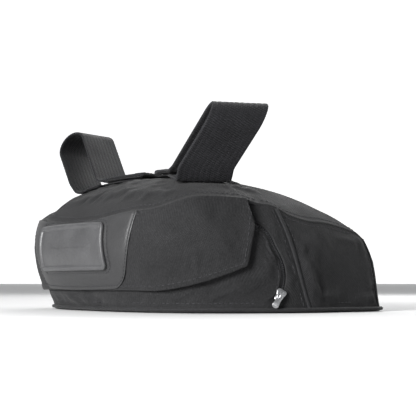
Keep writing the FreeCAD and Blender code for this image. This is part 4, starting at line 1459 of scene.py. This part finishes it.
def base_panel():
    """Flat base with a sewn border and sewn channels that hold its board."""
    share = np.concatenate([np.linspace(0.04, 0.955, 44), [0.965, 0.98, 0.992, 1.0]])
    ring = base_ring(-FABRIC - 0.3, 0.0)
    flat = share[:, None, None] * ring[None]
    away = np.minimum(np.abs(np.abs(flat[..., 0]) - CHANNEL_X), np.abs(flat[..., 1] - CHANNEL_Y))
    border = np.abs(share - BORDER_SHARE)[:, None] * 100.0
    sunk = 0.55 * np.exp(-(away / 1.6) ** 2) + 0.5 * np.exp(-(border / 1.6) ** 2)
    turned = 0.7 * (1.0 - np.sqrt(np.clip(1.0 - np.clip((share - 0.96) / 0.04, 0, 1) ** 2, 0, 1)))
    below, above = flat.copy(), flat.copy()
    below[..., 2] = np.minimum(sunk, 0.55) + turned[:, None]
    above[..., 2] = FABRIC - turned[:, None]
    points = np.concatenate([below, above[::-1]])
    obj = made("base_cloth_panel", points, ring_faces(*points.shape[:2]), "base_cloth",
               points[..., :2].reshape(-1, 2), "shell")
    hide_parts("base_panel")


def base_stitching():
    """Stitches along the base's sewn border and channels, on its underside."""
    loop = base_ring(0.0, BASE_STITCHES_Z)
    loop[:, :2] *= BORDER_SHARE * (1.0 - (FABRIC + 0.3) / 100.0)
    lines = [np.concatenate([loop, loop[:1]])]
    for start, end, count in (((-CHANNEL_X, -40.0), (-CHANNEL_X, 76.0), 60),
                              ((CHANNEL_X, -40.0), (CHANNEL_X, 76.0), 60),
                              ((-105.0, CHANNEL_Y), (105.0, CHANNEL_Y), 100)):
        lines.append(np.column_stack([np.linspace(start, end, count),
                                      np.full(count, BASE_STITCHES_Z)]))
    threads("base_stitching", [(line, np.broadcast_to(-UP, line.shape)) for line in lines],
            "shell", length=3.0)


# ---- pieces that keep the design's meshes ----

def finish_cad_nodes():
    """Materials for the pieces that keep the design's own meshes."""
    for part in frame["record"]["subparts"]:
        node = frame["nodes"][part["node"]]
        for holder in node.material_slots:
            holder.link = "OBJECT"
            holder.material = MATERIALS[part["material_slot"]]


# ---- camera, floor and light ----

LENS = 97.0
EYE = (0.676, -0.448, 0.0195)
AIM = (0.087, -0.0335, 0.067)
# Each lamp's name, place, power and size.
LAMPS = (("key", (0.38, -1.03, 0.30), 26.0, 0.35), ("rim", (-0.5, 0.55, 0.6), 3.0, 0.5),
         ("back", (0.1, 1.0, 0.5), 5.0, 0.6))


def turned_to(obj, place, target):
    """Put a camera or lamp at a place and turn it to a target."""
    obj.location = place
    obj.rotation_euler = (Vector(target) - Vector(place)).to_track_quat("-Z", "Y").to_euler()
    bpy.context.scene.collection.objects.link(obj)


def camera():
    obj = bpy.data.objects.new("camera", bpy.data.cameras.new("camera"))
    obj.data.lens = LENS
    obj.data.clip_start = 0.01
    turned_to(obj, EYE, AIM)
    bpy.context.scene.camera = obj


def staged_plane(name, material, size, **where):
    """A plane round the part that isn't a piece of it."""
    bpy.ops.mesh.primitive_plane_add(size=size, **where)
    plane = bpy.context.object
    plane.name = name
    plane.data.materials.append(material)


def studio():
    """Pale floor, bright backdrop, soft sky and three lamps."""
    pale = Tree("pale_floor")
    pale.set("Base Color", pale.mix(pale.noise(6.0), (0.80, 0.80, 0.80), (0.84, 0.84, 0.84)))
    pale.set("Roughness", 0.9)
    staged_plane("floor", pale.material, 30.0, location=(0.0, 0.0, -0.0004))

    world = bpy.data.worlds.new("studio")
    world.use_nodes = True
    sky = world.node_tree.nodes["Background"]
    sky.inputs["Color"].default_value = (0.96, 0.98, 1.0, 1.0)
    sky.inputs["Strength"].default_value = 0.25
    bpy.context.scene.world = world
    bpy.context.scene.view_settings.view_transform = "Standard"

    card = bpy.data.materials.new("backdrop_glow")
    card.use_nodes = True
    glow = card.node_tree.nodes["Principled BSDF"]
    glow.inputs["Emission Color"].default_value = (1.0, 1.0, 1.0, 1.0)
    glow.inputs["Emission Strength"].default_value = 0.85
    staged_plane("backdrop", card, 24.0, location=(-9.6, 7.2, 0.0),
                 rotation=(math.radians(90.0), 0.0, math.radians(53.13)))

    centre = (Vector(CAD_BOX[0]) + Vector(CAD_BOX[1])) / 2.0
    for name, place, watts, size in LAMPS:
        lamp = bpy.data.lights.new(name, "AREA")
        lamp.energy = watts
        lamp.size = size
        turned_to(bpy.data.objects.new(name, lamp), place, centre)


front_wall()
upper_wall()
back_wall()
top_panel()
top_stitching()
storm_flap()
nose_patch()
patch_stitching()
badge()
flap_seam()
zip_coils()
zip_slider()
zip_pull()
base_piping()
base_panel()
base_stitching()
seams()
for side_name, side_sign in SIDES:
    corner_panel(side_name, side_sign)
    side_panel(side_name, side_sign)
    bar_tack(side_name, side_sign)
    strap(side_name, side_sign)
    strap_stitching(side_name, side_sign)
    tapes(side_name, side_sign)
finish_cad_nodes()
camera()
studio()
